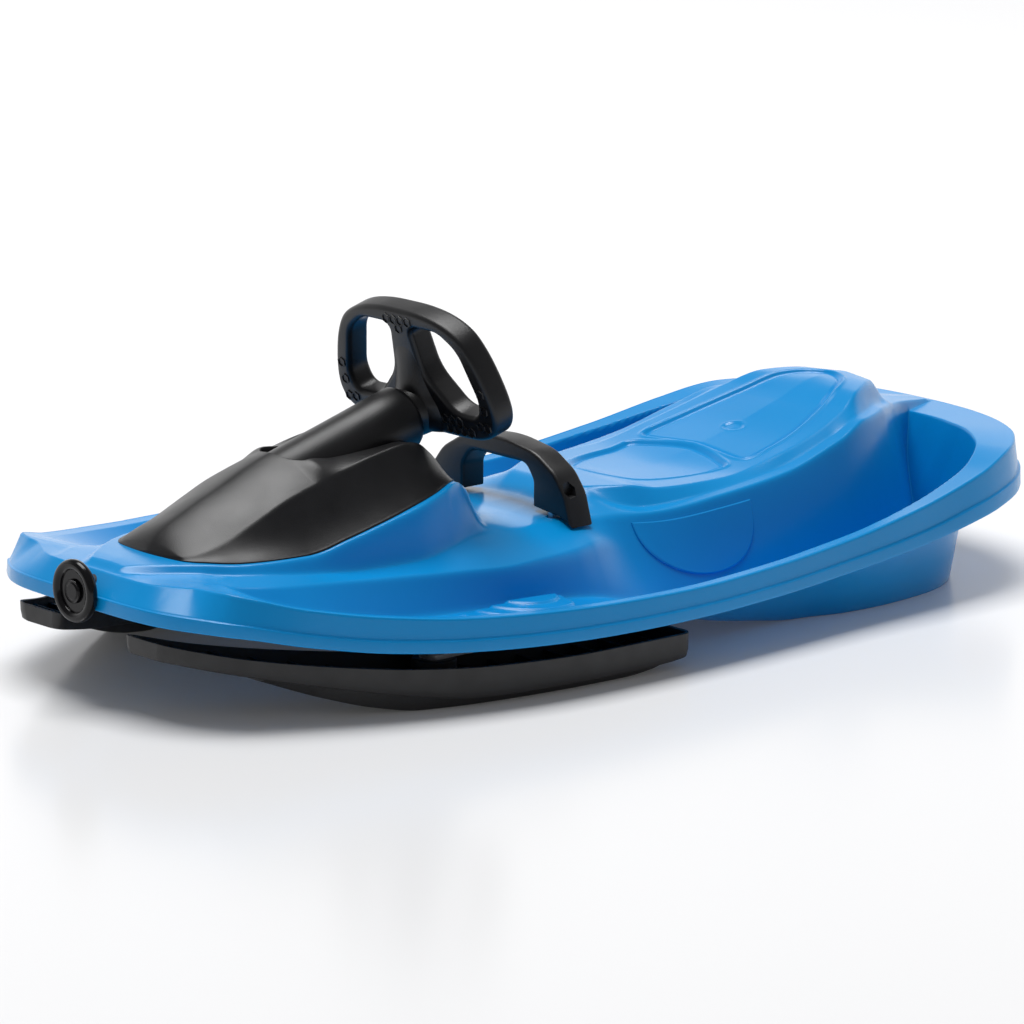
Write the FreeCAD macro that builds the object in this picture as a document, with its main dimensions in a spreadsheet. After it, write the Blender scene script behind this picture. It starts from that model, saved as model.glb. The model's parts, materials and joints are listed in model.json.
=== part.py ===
import FreeCAD, Part
import os, math
from FreeCAD import Vector, Placement, Rotation

# Two-seat steerable plastic sled: a moulded shell on two steered front skis,
# wheel on an inclined column, lift-up claw brake, self-winding tow reel.
# +Z up, nose towards -Y, rider's left towards +X, ground at z = 0.

doc = FreeCAD.newDocument("steering_sled")
sheet = doc.addObject("Spreadsheet::Sheet", "dims")

DIMS = [
    # shell
    ("wall", 4.0), ("nose_y", -570.0), ("stern_y", 584.0), ("end_wall", 4.0),
    # steering column
    ("col_angle", 16.5), ("hub_y", -134.0), ("hub_z", 236.0),
    ("shaft_r", 10.0), ("shaft_len", 270.0), ("shaft_low", -262.0),
    ("bush_bore_r", 10.05), ("bush_low_r", 16.0), ("bush_up_r", 24.4),
    ("bush_low_len", 20.0), ("bush_up_len", 16.0),
    ("tube_r", 33.0), ("tube_bore_r", 24.5), ("tube_len", 150.0), ("tube_end", -33.0),
    ("hood_wall", 3.0), ("carrier_w", 144.0), ("carrier_h", 30.5), ("carrier_t", 19.0),
    ("wheel_depth", 28.0), ("wheel_bolt_r", 7.0), ("wheel_bolt_h", 4.0),
    ("crank_t", 11.0), ("crank_len", 45.0), ("crank_pin_r", 5.0), ("crank_bolt_r", 8.0), ("crank_bolt_h", 6.0),
    # link and skis
    ("link_t", 7.0), ("link_y", -228.0), ("link_z", 51.5),
    ("pin_x", 205.0), ("pin_y", -300.0), ("kingpin_r", 6.0), ("kingpin_head_r", 11.0),
    ("kingpin_bore_r", 6.05), ("nut_r", 10.0), ("nut_h", 8.0),
    ("ski_wall", 4.0), ("ski_hub_r", 22.0), ("arm_w", 26.0), ("arm_t", 8.0), ("arm_pin_r", 4.0),
    ("runner_w", 58.0),
    ("sub_w", 56.0), ("sub_t", 10.0), ("sub_z", 51.5),
    # brake
    ("axle_y", 45.0), ("axle_z", 70.0), ("axle_r", 5.0), ("axle_bore_r", 5.05), ("axle_len", 224.0),
    ("brk_depth", 31.0), ("brk_front", -40.0), ("brk_arm_x", 80.0), ("brk_arm_t", 6.0),
    ("bolt_r", 4.0), ("bolt_head_r", 7.0),
    # tow reel
    ("knob_r", 31.0), ("knob_t", 12.0), ("knob_z", 112.0), ("knob_front", -584.0),
    ("stem_r", 8.0), ("stem_bore_r", 8.05), ("stem_len", 37.0), ("guide_r", 13.0), ("guide_len", 25.0),
    ("reel_y", -486.0), ("reel_z", 86.0), ("reel_r", 38.0), ("reel_h", 33.0), ("drum_r", 33.0), ("drum_core_r", 25.0),
]
for row, (name, value) in enumerate(DIMS, start=1):
    sheet.set("A%d" % row, name)
    sheet.set("B%d" % row, str(value))
    sheet.setAlias("B%d" % row, name)
doc.recompute()


def D(name):
    return float(sheet.get(name))


# ---------------------------------------------------------------- shape lines
def curve(table, y):
    """Monotone cubic through (y, value) pairs."""
    n = len(table)
    if y <= table[0][0]:
        return float(table[0][1])
    if y >= table[-1][0]:
        return float(table[-1][1])
    h = [table[i + 1][0] - table[i][0] for i in range(n - 1)]
    d = [(table[i + 1][1] - table[i][1]) / h[i] for i in range(n - 1)]
    m = [d[0]] + [0.0] * (n - 2) + [d[-1]]
    for i in range(1, n - 1):
        if d[i - 1] * d[i] > 0:
            w1 = 2 * h[i] + h[i - 1]
            w2 = h[i] + 2 * h[i - 1]
            m[i] = (w1 + w2) / (w1 / d[i - 1] + w2 / d[i])
    k = 0
    while y > table[k + 1][0]:
        k += 1
    s = (y - table[k][0]) / h[k]
    return ((1 + 2 * s) * (1 - s) ** 2 * table[k][1] + s * (1 - s) ** 2 * h[k] * m[k]
            + s * s * (3 - 2 * s) * table[k + 1][1] + s * s * (s - 1) * h[k] * m[k + 1])


RIM_X = [(-570, 112), (-560, 140), (-545, 160), (-527, 176), (-495, 195), (-462, 213), (-396, 245), (-314, 272),
         (-222, 290), (-120, 295), (-20, 292), (90, 284), (200, 273), (311, 264), (413, 253), (450, 243), (483, 228),
         (515, 203), (540, 172), (560, 134), (574, 94), (584, 56)]
RIM_Z = [(-570, 98), (-527, 91), (-462, 78), (-396, 68), (-314, 61), (-222, 57), (-120, 54), (-20, 53), (90, 55),
         (200, 60), (311, 69), (413, 83), (483, 92), (540, 96), (584, 97)]
RIM_H = [(-570, 33), (-527, 39), (-462, 36), (-396, 35), (-314, 33), (-222, 32), (-120, 31), (-20, 30), (90, 31),
         (200, 33), (311, 39), (413, 45), (483, 50), (584, 48)]
RIM_IN = [(-570, 22), (-560, 26), (-545, 22), (-527, 15), (-495, 9), (-440, 6), (300, 7), (450, 12), (584, 12)]
RIM_W = [(-570, 14), (300, 15), (450, 22), (584, 16)]
MID_Z = [(-570, 130), (-545, 134.5), (-520, 136.5), (-504, 136.5), (-484, 135.5), (-440, 133), (-373, 133.5), (-322, 143), (-263, 156),
         (-203, 168), (-174, 174), (-152, 166), (-130, 138), (-100, 127), (-60, 122), (-10, 123), (30, 136), (73, 136),
         (120, 131), (171, 130), (230, 141), (288, 155), (350, 174), (416, 193), (452, 191), (464, 184), (482, 162),
         (500, 158), (540, 152), (584, 145)]
B_X = [(-570, 14), (-548, 21), (-540, 25), (-520, 41), (-504, 53), (-484, 67), (-470, 76), (-450, 87), (-425, 96), (-400, 102), (-366, 105), (-308, 106.5),
       (-244, 105.5), (-192, 97), (-174, 90), (-150, 78), (-120, 62), (-60, 46), (-20, 36), (20, 52), (65, 72), (102, 85),
       (182, 93), (266, 94), (320, 91), (363, 82), (400, 68), (430, 54), (455, 40), (490, 20), (584, 8)]
B_Z = [(-570, 130), (-545, 134), (-520, 136), (-504, 136), (-484, 135.5), (-440, 133), (-373, 133.5), (-322, 143), (-263, 156), (-203, 169),
       (-174, 175), (-152, 166), (-130, 137), (-100, 126), (-60, 121), (-10, 122), (30, 136), (65, 136), (102, 131),
       (182, 132), (266, 147), (320, 161), (363, 175), (400, 188), (430, 190), (452, 187), (464, 181), (482, 161),
       (500, 157), (540, 151), (584, 145)]
C_X = [(-570, 26), (-548, 33), (-540, 37), (-520, 52), (-504, 62), (-484, 75), (-470, 83), (-450, 94), (-425, 103), (-400, 108.5), (-370, 111.5), (-308, 113), (-244, 114),
       (-192, 106), (-160, 98), (-120, 96), (-80, 95), (-30, 96), (20, 105), (70, 118), (153, 128), (238, 130), (324, 125),
       (375, 110), (420, 88), (450, 70), (485, 46), (510, 34), (584, 14)]
C_Z = [(-570, 129.5), (-548, 129), (-530, 128.5), (-505, 128.5), (-487, 128), (-474, 126.5), (-427, 123.5), (-370, 118), (-308, 113), (-244, 112),
       (-192, 117), (-160, 121), (-120, 120), (-80, 118), (-30, 117), (20, 116), (70, 115), (153, 122), (238, 132), (324, 154),
       (375, 168), (420, 168), (450, 164), (485, 158), (510, 155), (584, 144)]
K_X = [(-570, 50), (-545, 70), (-520, 88), (-495, 101), (-474, 110), (-425, 125), (-364, 130), (-285, 135), (-210, 145), (-146, 153),
       (-60, 143), (-18, 132), (30, 124)]
K_Z = [(-570, 129.3), (-545, 128.5), (-520, 127.5), (-495, 125.5), (-474, 120), (-425, 115), (-364, 110.7), (-285, 105), (-210, 101), (-146, 98),
       (-60, 98.5), (-18, 99), (30, 100)]
D_X = [(-570, 84), (-500, 100), (-480, 110), (-440, 136), (-400, 148), (-350, 152), (-300, 155), (-200, 158),
       (-100, 159), (0, 162), (100, 168), (200, 171), (300, 168), (380, 158), (430, 140), (465, 112), (490, 82),
       (505, 62), (530, 50), (584, 20)]
E_X = [(-570, 98), (-500, 140), (-480, 150), (-440, 172), (-400, 194), (-350, 210), (-300, 220), (-200, 228),
       (-100, 221), (0, 206), (56, 201), (121, 202), (190, 203), (250, 214), (317, 220), (370, 217), (418, 204),
       (455, 179), (485, 146), (505, 110), (530, 80), (584, 24)]
FLOOR_Z = [(-570, 129), (-545, 128), (-520, 126.5), (-500, 123), (-480, 115), (-440, 100), (-400, 88), (-350, 77), (-300, 68),
           (-200, 63), (-120, 60), (-60, 54), (0, 40), (60, 23), (121, 12), (190, 4), (418, 4), (440, 10), (470, 40),
           (490, 85), (505, 122), (530, 142), (584, 144)]


def half_profile(y):
    """Top surface at station y from the centre line out to the rim's lower edge."""
    xh, zh = curve(RIM_X, y), curve(RIM_Z, y)
    xg, zg = xh - curve(RIM_IN, y), zh + curve(RIM_H, y)
    xf, zf = xg - curve(RIM_W, y), zg - 1.5
    fz = min(curve(FLOOR_Z, y), zf - 0.5)
    xe = min(curve(E_X, y), xf - min(6.0, 0.15 * xf))
    xd = min(curve(D_X, y), 0.92 * xe)
    xc = min(curve(C_X, y), 0.88 * xd)
    xb = min(curve(B_X, y), xc - min(5.0, 0.2 * xc))
    zc, zb = curve(C_Z, y), curve(B_Z, y)
    # deck edge: a ledge beside the hood that runs out into the seat's side wall
    w = min(max((y + 30) / 60.0, 0.0), 1.0)
    w = w * w * (3 - 2 * w)
    xk = min(max(curve(K_X, y), xc + 2.0), xd - 2.0) * (1 - w) + (xc + 0.35 * (xd - xc)) * w
    zk = min(max(curve(K_Z, y), fz + 1.0), zc + 1.0) * (1 - w) + (zc + 0.35 * (fz - zc)) * w
    return [(0.0, curve(MID_Z, y)), (xb, zb), (xc, zc), (xk, zk), (xd, fz), (xe, fz), (xf, zf), (xg, zg), (xh, zh)]


def offset_inside(prof, th, th_side):
    """Lower face of the wall: each point moved by the wall along the mean normal."""
    full = [(-x, z) for x, z in prof[:0:-1]] + prof
    out = []
    n = len(full)
    for i, (x, z) in enumerate(full):
        ns = []
        for a, b in ((i - 1, i), (i, i + 1)):
            if a < 0 or b >= n:
                continue
            dx, dz = full[b][0] - full[a][0], full[b][1] - full[a][1]
            q = math.hypot(dx, dz)
            ns.append((dz / q, -dx / q))
        nx = sum(v[0] for v in ns) / len(ns)
        nz = sum(v[1] for v in ns) / len(ns)
        q2 = nx * nx + nz * nz
        s = th / max(q2, 0.45)
        side = th_side / th
        if i in (0, n - 1):
            out.append((x - math.copysign(th_side, x), z))
        else:
            out.append((x + nx * s * (side if i in (1, n - 2) else 1.0), z + nz * s))
    return full, out


def poly_wire(pts):
    v = [Vector(*p) for p in pts]
    return Part.makePolygon(v + [v[0]])


def skin_solid(sections):
    """Solid over closed polygons of equal length: a flat strip becomes one plane face, the rest ruled faces."""
    m, n = len(sections), len(sections[0])
    pts = [[Vector(*[0.0 if abs(c) < 1e-6 else c for c in p]) for p in s] for s in sections]
    faces = []
    for j in range(n):
        k = (j + 1) % n
        i = 0
        while i < m - 1:
            a, b, c, d = pts[i][j], pts[i][k], pts[i + 1][k], pts[i + 1][j]
            nv = (b - a).cross(d - a)
            nv.normalize()
            last = i + 1
            if abs((c - a).dot(nv)) < 1e-6:
                while last < m - 1 and abs((pts[last + 1][j] - a).dot(nv)) < 1e-6 and abs((pts[last + 1][k] - a).dot(nv)) < 1e-6:
                    last += 1
                ring = [pts[q][j] for q in range(i, last + 1)] + [pts[q][k] for q in range(last, i - 1, -1)]
                faces.append(Part.Face(Part.makePolygon(ring + [ring[0]])))
            else:
                faces.append(Part.makeRuledSurface(Part.makeLine(a, b), Part.makeLine(d, c)))
            i = last
    for ring in (pts[0], pts[-1]):
        faces.append(Part.Face(Part.makePolygon(ring + [ring[0]])))
    skin = Part.Compound(faces)
    skin.sewShape(1e-5)
    if len(skin.Shells) != 1:
        raise RuntimeError("skin gave %d shells" % len(skin.Shells))
    solid = Part.Solid(skin.Shells[0])
    if solid.Volume < 0:
        solid.reverse()
    return solid


def check(shape, name):
    if shape.isNull() or not shape.isValid() or shape.Volume <= 0:
        raise RuntimeError("bad shape " + name)
    return shape


STATIONS = [-570, -560, -545, -527, -500, -480, -440, -400, -350, -300, -250, -203, -174, -152, -130, -100, -60, -20,
            20, 65, 102, 150, 200, 250, 300, 350, 395, 430, 452, 464, 482, 500, 515, 535, 552, 566, 576, 584]


def shell_solid():
    wires = []
    for y in STATIONS:
        prof = half_profile(y)
        slope = abs(curve(RIM_X, min(y + 4, 584)) - curve(RIM_X, max(y - 4, -570))) / 8.0
        side = min(max(D("wall") * math.hypot(1, slope), D("wall")), 14.0)
        top, low = offset_inside(prof, D("wall"), side)
        wires.append([(x, y, z) for x, z in top] + [(x, y, z) for x, z in reversed(low)])
    return check(skin_solid(wires), "shell")


def end_wall(y0, y1):
    wires = []
    for y in (y0, y1):
        prof = half_profile(y)
        pts = [(-x, y, z) for x, z in prof[:0:-1]] + [(x, y, z) for x, z in prof]
        wires.append(poly_wire(pts))
    return check(Part.makeLoft(wires, True, True), "end wall")


def feature(label, shape):
    check(shape, label)
    o = doc.addObject("Part::Feature", label)
    o.Shape = shape
    o.Label = label
    return o


AX = Vector(0, math.cos(math.radians(D("col_angle"))), math.sin(math.radians(D("col_angle"))))
UP = Vector(0, -math.sin(math.radians(D("col_angle"))), math.cos(math.radians(D("col_angle"))))
HUB = Vector(0, D("hub_y"), D("hub_z"))


def on_axis(t, v=0.0, u=0.0):
    return HUB + AX * t + UP * v + Vector(u, 0, 0)


# rotation taking local y -> wheel-up and local z -> column axis
COL_ROT = Rotation(Vector(-1, 0, 0), UP, AX, "ZYX")


def cyl(label, r, h, pos, rot=Rotation()):
    o = doc.addObject("Part::Cylinder", label)
    o.Label = label
    for prop, val in (("Radius", r), ("Height", h)):
        if isinstance(val, str):
            o.setExpression(prop, val)
        else:
            setattr(o, prop, val)
    o.Placement = Placement(pos, rot)
    return o


def box(label, lx, ly, lz, pos, rot=Rotation()):
    o = doc.addObject("Part::Box", label)
    o.Label = label
    for prop, val in (("Length", lx), ("Width", ly), ("Height", lz)):
        if isinstance(val, str):
            o.setExpression(prop, val)
        else:
            setattr(o, prop, val)
    o.Placement = Placement(pos, rot)
    return o


def cut(label, base, tools):
    tool = tools[0]
    if len(tools) > 1:
        tool = doc.addObject("Part::MultiFuse", label + "_tools")
        tool.Shapes = tools
        tool.Refine = False
    o = doc.addObject("Part::Cut", label)
    o.Base, o.Tool = base, tool
    o.Refine = False
    o.Label = label
    return o


def fuse(label, shapes):
    o = doc.addObject("Part::MultiFuse", label)
    o.Shapes = shapes
    o.Refine = False
    o.Label = label
    return o


def group(label, shapes):
    o = doc.addObject("Part::Compound", label)
    o.Links = shapes
    o.Label = label
    return o


def padded(label, pts, length, holes=(), pos=Vector(), rot=Rotation(), slots=()):
    """Profile drawn on the body's XY plane and padded along its Z."""
    body = doc.addObject("PartDesign::Body", label)
    body.Label = label
    plane = [f for f in body.Origin.OriginFeatures if f.Role == "XY_Plane"][0]

    def sketch(name):
        sk = body.newObject("Sketcher::SketchObject", name)
        sk.AttachmentSupport = [(plane, "")]
        sk.MapMode = "FlatFace"
        return sk

    def outline(sk, poly):
        import Sketcher
        n = len(poly)
        first = sk.GeometryCount
        for i in range(n):
            a, b = poly[i], poly[(i + 1) % n]
            sk.addGeometry(Part.LineSegment(Vector(a[0], a[1], 0), Vector(b[0], b[1], 0)), False)
        for i in range(n):
            sk.addConstraint(Sketcher.Constraint("Coincident", first + i, 2, first + (i + 1) % n, 1))

    sk = sketch(label + "_outline")
    outline(sk, pts)
    pad = body.newObject("PartDesign::Pad", label + "_pad")
    pad.Profile = sk
    pad.setExpression("Length", length)
    doc.recompute()
    if holes or slots:
        sk2 = sketch(label + "_holes")
        import Sketcher
        for hx, hy, hr in holes:
            g = sk2.addGeometry(Part.Circle(Vector(hx, hy, 0), Vector(0, 0, 1), 5.0), False)
            c = sk2.addConstraint(Sketcher.Constraint("Radius", g, 5.0))
            if isinstance(hr, str):
                sk2.setExpression("Constraints[%d]" % c, hr)
            else:
                sk2.setDatum(c, hr)
        for poly in slots:
            outline(sk2, poly)
        before = body.Shape.Volume
        pocket = body.newObject("PartDesign::Pocket", label + "_pocket")
        pocket.Profile = sk2
        pocket.Type = 1
        pocket.Midplane = False
        pocket.Reversed = True
        doc.recompute()
        if body.Shape.Volume >= before - 1e-6:
            pocket.Reversed = False
            doc.recompute()
        if body.Shape.Volume >= before - 1e-6:
            raise RuntimeError("pocket cut nothing in " + label)
    body.Placement = Placement(pos, rot)
    return body


def rounded(poly, radii, seg=6):
    """Polygon with each corner replaced by a short-chord arc."""
    out = []
    n = len(poly)
    for i in range(n):
        p0, p1, p2 = Vector(*poly[i - 1], 0), Vector(*poly[i], 0), Vector(*poly[(i + 1) % n], 0)
        r = radii[i] if isinstance(radii, (list, tuple)) else radii
        a, b = (p0 - p1), (p2 - p1)
        la, lb = a.Length, b.Length
        a.normalize(); b.normalize()
        ang = a.getAngle(b)
        if r <= 0 or ang > 3.1:
            out.append((p1.x, p1.y)); continue
        d = min(r / math.tan(ang / 2), 0.48 * la, 0.48 * lb)
        r2 = d * math.tan(ang / 2)
        bis = (a + b); bis.normalize()
        c = p1 + bis * (r2 / math.sin(ang / 2))
        s, e = p1 + a * d - c, p1 + b * d - c
        tot = s.getAngle(e)
        sgn = 1.0 if s.cross(e).z > 0 else -1.0
        for k in range(seg + 1):
            q = sgn * tot * k / seg
            v = Vector(s.x * math.cos(q) - s.y * math.sin(q), s.x * math.sin(q) + s.y * math.cos(q), 0) + c
            out.append((v.x, v.y))
    return out


NODES = []
X_UP_Y = Rotation(Vector(1, 0, 0), Vector(0, 0, 1), Vector(0, -1, 0), "ZXY")   # local xy -> XZ plane, z -> -Y
Y_Z_X = Rotation(Vector(0, 1, 0), Vector(0, 0, 1), Vector(1, 0, 0), "ZXY")     # local xy -> YZ plane, z -> +X
DOWN = Rotation(Vector(1, 0, 0), 180)
TO_Y = Rotation(Vector(1, 0, 0), -90)      # cylinder axis -> +Y
TO_X = Rotation(Vector(0, 1, 0), 90)       # cylinder axis -> +X

# ------------------------------------------------------------------ hull shell
raw = feature("hull_blank", shell_solid())
nose = feature("hull_nose_wall", end_wall(D("nose_y"), D("nose_y") + D("end_wall")))
stern = feature("hull_stern_wall", end_wall(D("stern_y") - D("end_wall"), D("stern_y")))
blank = fuse("hull_body", [raw, nose, stern])
tools = [box("hull_hood_opening", 100, 242, 120, Vector(-50, -430, 100))]
for s in (-1, 1):
    tools.append(box("hull_brake_slot_%d" % (s + 1), 9, 39, 70, Vector(s * D("brk_arm_x") - 4.5, -42, 90)))
    tools.append(cyl("hull_kingpin_hole_%d" % (s + 1), 6.3, 60, Vector(s * D("pin_x"), D("pin_y"), 40)))
tools.append(cyl("hull_guide_hole", D("guide_r") + 0.05, 20, Vector(0, -580, D("knob_z")), TO_Y))
NODES.append(cut("hull_shell", blank, tools))

# ------------------------------------------------------------------------ hood
# station, half width at the foot, foot z, crease x, crease z, top z
HOOD = [(y, xf, curve(B_Z, y) + 1.4, xc, zc, zt) for y, xf, xc, zc, zt in (
    (-490, 16, 10, 138.6, 140.2), (-487, 40, 34, 139, 143), (-484, 52, 46, 139.5, 146), (-470, 66, 56, 142, 157),
    (-448, 81, 60, 147.5, 167.5), (-425, 91, 61, 156, 178), (-400, 97, 62, 166, 188), (-366, 101, 62, 180, 202.5),
    (-342, 102.5, 62, 187, 211.5), (-325, 103, 61.5, 191.5, 217), (-317, 103, 61.5, 194, 206), (-263, 102.5, 60.5, 207.5, 208.5),
    (-215, 97, 59, 215, 212), (-195, 93, 57.5, 212, 210), (-178, 86, 55, 202, 201), (-164, 76, 52, 188, 188), (-156, 68, 49, 178.5, 179))]


def hood_section(row, inset):
    """Closed half-moon at one station; with an inset, the hollow below it, open at the foot."""
    y, xf, zf, xc, zc, zt = row
    half = [(0.0, zt - 1.2 * inset), (xc * 0.5, zt - (zt - zc) * 0.22 - 1.2 * inset), (xc - 0.7 * inset, zc - inset),
            (xf - (xf - xc) * 0.25 - inset, zc - (zc - zf) * 0.5 - 0.5 * inset), (xf - inset, zf)]
    if inset:
        lift = [0.9, 0.8, 0.6, 0.3, 0.0]
        half = [(max(x, 0.0), max(z, zf + k)) for (x, z), k in zip(half, lift)] + [(xf - inset, zf - 30.0)]
    return [(-x, y, z) for x, z in half[:0:-1]] + [(x, y, z) for x, z in half]


hood_raw = feature("hood_blank", check(skin_solid([hood_section(r, 0.0) for r in HOOD]), "hood"))
hollow = feature("hood_hollow", check(skin_solid([hood_section(r, D("hood_wall")) for r in HOOD[1:-1]]), "hood hollow"))
tube = cyl("hood_tube", "dims.tube_r", "dims.tube_len", on_axis(D("tube_end") - D("tube_len")), COL_ROT)
hood_body = fuse("hood_body", [hood_raw, tube])
hood_open = cut("hood_shell", hood_body, [hollow])
bore = cyl("hood_bore", "dims.tube_bore_r", 290, on_axis(-250), COL_ROT)
NODES.append(cut("hood", hood_open, [bore]))

hs = []
for i, (x, y) in enumerate(((60, -430), (-60, -430), (80, -205), (-80, -205))):
    z = curve(B_Z, y) - 15
    hs.append(cyl("hood_screw_%d" % i, 3.0, 9.5, Vector(x, y, z)))
NODES.append(group("hood_screws", hs))

# -------------------------------------------------------------- steering column
NODES.append(cyl("steering_shaft", "dims.shaft_r", "dims.shaft_len", on_axis(D("shaft_low")), COL_ROT))
bl = cyl("bush_low_ring", "dims.bush_low_r", "dims.bush_low_len", on_axis(-246), COL_ROT)
NODES.append(cut("column_bush_lower", bl, [cyl("bush_low_bore", "dims.bush_bore_r", 40, on_axis(-256), COL_ROT)]))
bu = cyl("bush_up_ring", "dims.bush_up_r", "dims.bush_up_len", on_axis(-60), COL_ROT)
NODES.append(cut("column_bush_upper", bu, [cyl("bush_up_bore", "dims.bush_bore_r", 40, on_axis(-70), COL_ROT)]))
cw, ch = D("carrier_w") / 2, D("carrier_h")
NODES.append(padded("column_carrier", rounded([(-cw, -ch), (-54, -ch), (-38, -20), (38, -20), (54, -ch), (cw, -ch), (cw, -ch + 9),
                                               (26, 21), (-26, 21), (-cw, -ch + 9)], 4),
                    "dims.carrier_t", holes=[(0, 0, "dims.bush_low_r")], pos=on_axis(-245.5), rot=COL_ROT))

# wheel: ring with a central spoke, hub low in the ring
W_OUT = rounded([(-70, 108), (-104, 90), (-122, 18), (-108, -23), (108, -23), (122, 18), (104, 90), (70, 108)], [44, 36, 44, 24, 24, 44, 36, 44], 6)
W_WIN = [rounded([(s * 17, 94), (s * 62, 94), (s * 82, 76), (s * 95, 8), (s * 30, 6)], [10, 24, 24, 18, 22], 5) for s in (-1, 1)]
wheel_ring = padded("wheel_ring", W_OUT, "dims.wheel_depth", slots=W_WIN, pos=on_axis(-14), rot=COL_ROT)
neck = doc.addObject("Part::Cone", "wheel_neck")
neck.Radius1, neck.Radius2, neck.Height = 22, 27, 20
neck.Placement = Placement(on_axis(-32), COL_ROT)
wheel_body = fuse("wheel_body", [wheel_ring, neck])
NODES.append(cut("steering_wheel", wheel_body, [cyl("wheel_bore", 10.0, 60, on_axis(-50), COL_ROT)]))
NODES.append(cyl("wheel_bolt", "dims.wheel_bolt_r", "dims.wheel_bolt_h", on_axis(14.2), COL_ROT))

# crank on the lower end of the shaft, with the pin that drives the link
ck = D("crank_len")
plate = padded("crank_plate", rounded([(-17, 17), (-17, -8), (-11, -ck - 10), (11, -ck - 10), (17, -8), (17, 17)], 8),
               "dims.crank_t", holes=[(0, 0, "dims.shaft_r")], pos=on_axis(-261), rot=COL_ROT)
cpin = cyl("crank_pin", "dims.crank_pin_r", 26, on_axis(-261.5, -ck), COL_ROT)
NODES.append(fuse("steering_crank", [plate, cpin]))
NODES.append(cyl("crank_bolt", "dims.crank_bolt_r", "dims.crank_bolt_h", on_axis(-268.2), COL_ROT))

# link: flat bar across the sled, slotted tab for the crank pin, slotted ends for the ski arms
ly, lz = D("link_y"), D("link_z")
px = D("pin_x")
bar = padded("link_bar", rounded([(-px - 16, -14), (-px + 16, -14), (-px + 24, -7), (px - 24, -7), (px - 16, -14), (px + 16, -14),
                                  (px + 16, 14), (px - 16, 14), (px - 24, 7), (-px + 24, 7), (-px + 16, 14), (-px - 16, 14)], 5, 3),
             "dims.link_t", slots=[[(s * px - 5.2, -10), (s * px + 5.2, -10), (s * px + 5.2, 6), (s * px - 5.2, 6)] for s in (-1, 1)],
             pos=Vector(0, ly, lz))
tongue = box("link_tongue", 24, 130, "dims.link_t", Vector(-12, -356, lz))
tab = box("link_fork", 40, 8, 84, Vector(-20, -356, lz))
slot = box("link_fork_slot", 12, 40, 40, Vector(-6, -372, 104))
NODES.append(cut("steering_link", fuse("link_body", [bar, tongue, tab]), [slot]))

# plates under the shell's floor that hold the kingpins upright
sw = D("sub_w") / 2
for side, tag in ((1, "left"), (-1, "right")):
    NODES.append(padded("kingpin_plate_" + tag, rounded([(-sw, -sw), (sw, -sw), (sw, sw), (-sw, sw)], 12), "dims.sub_t",
                        holes=[(0, 0, "dims.kingpin_r")], pos=Vector(side * (px), D("pin_y"), D("sub_z"))))

# ------------------------------------------------------------------------ skis
SKI_OUT = [(-560, 119), (-540, 134), (-495, 163), (-431, 205), (-353, 243), (-272, 266), (-154, 279), (-28, 282)]
SKI_IN = [(-560, 45), (-540, 56), (-495, 80), (-431, 115), (-353, 149), (-272, 171), (-154, 186), (-28, 192)]
SKI_TOP = [(-560, 77), (-495, 62), (-431, 53), (-353, 45), (-272, 40), (-154, 37), (-28, 37)]
SKI_BOT = [(-560, 60), (-500, 45), (-431, 31), (-353, 17), (-300, 10), (-250, 8), (-110, 8), (-60, 9), (-28, 12)]
RUN_BOT = [(-480, 38), (-431, 20), (-380, 6), (-337, 0), (-110, 0), (-70, 3), (-50, 8)]
SKI_ST = [-560, -540, -520, -495, -480, -455, -431, -400, -370, -337, -300, -272, -250, -210, -180, -154, -110, -85, -60, -50, -28]


def ski_tray(side):
    w = D("ski_wall")
    wires = []
    for y in SKI_ST:
        xo, xi, zt, zb = curve(SKI_OUT, y), curve(SKI_IN, y), curve(SKI_TOP, y), curve(SKI_BOT, y)
        pts = [(xo, zt), (xo - 3, zb), (xi + 3, zb), (xi, zt), (xi + w, zt), (xi + 3 + w, zb + w), (xo - 3 - w, zb + w), (xo - w, zt)]
        wires.append(poly_wire([(side * x, y, z) for x, z in pts]))
    tray = check(Part.makeLoft(wires, True, True), "ski tray")
    caps = []
    for y0, y1 in ((-560, -555), (-33, -28)):
        ws = []
        for y in (y0, y1):
            xo, xi, zt, zb = curve(SKI_OUT, y), curve(SKI_IN, y), curve(SKI_TOP, y), curve(SKI_BOT, y)
            ws.append(poly_wire([(side * x, y, z) for x, z in [(xo, zt), (xo - 3, zb), (xi + 3, zb), (xi, zt)]]))
        caps.append(Part.makeLoft(ws, True, True))
    return tray, caps


def runner_solid(side):
    wires = []
    for y in [q for q in SKI_ST if -480 <= q <= -50]:
        xm = (curve(SKI_OUT, y) + curve(SKI_IN, y)) / 2 + 6
        zb, zt = curve(RUN_BOT, y), curve(SKI_BOT, y) - 0.02
        zb = min(zb, zt - 0.8)
        w = D("runner_w") / 2
        wires.append([(side * x, y, z) for x, z in [(xm - w, zt), (xm - w + 4, zb), (xm + w - 4, zb), (xm + w, zt)]])
    return check(skin_solid(wires), "runner")


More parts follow.
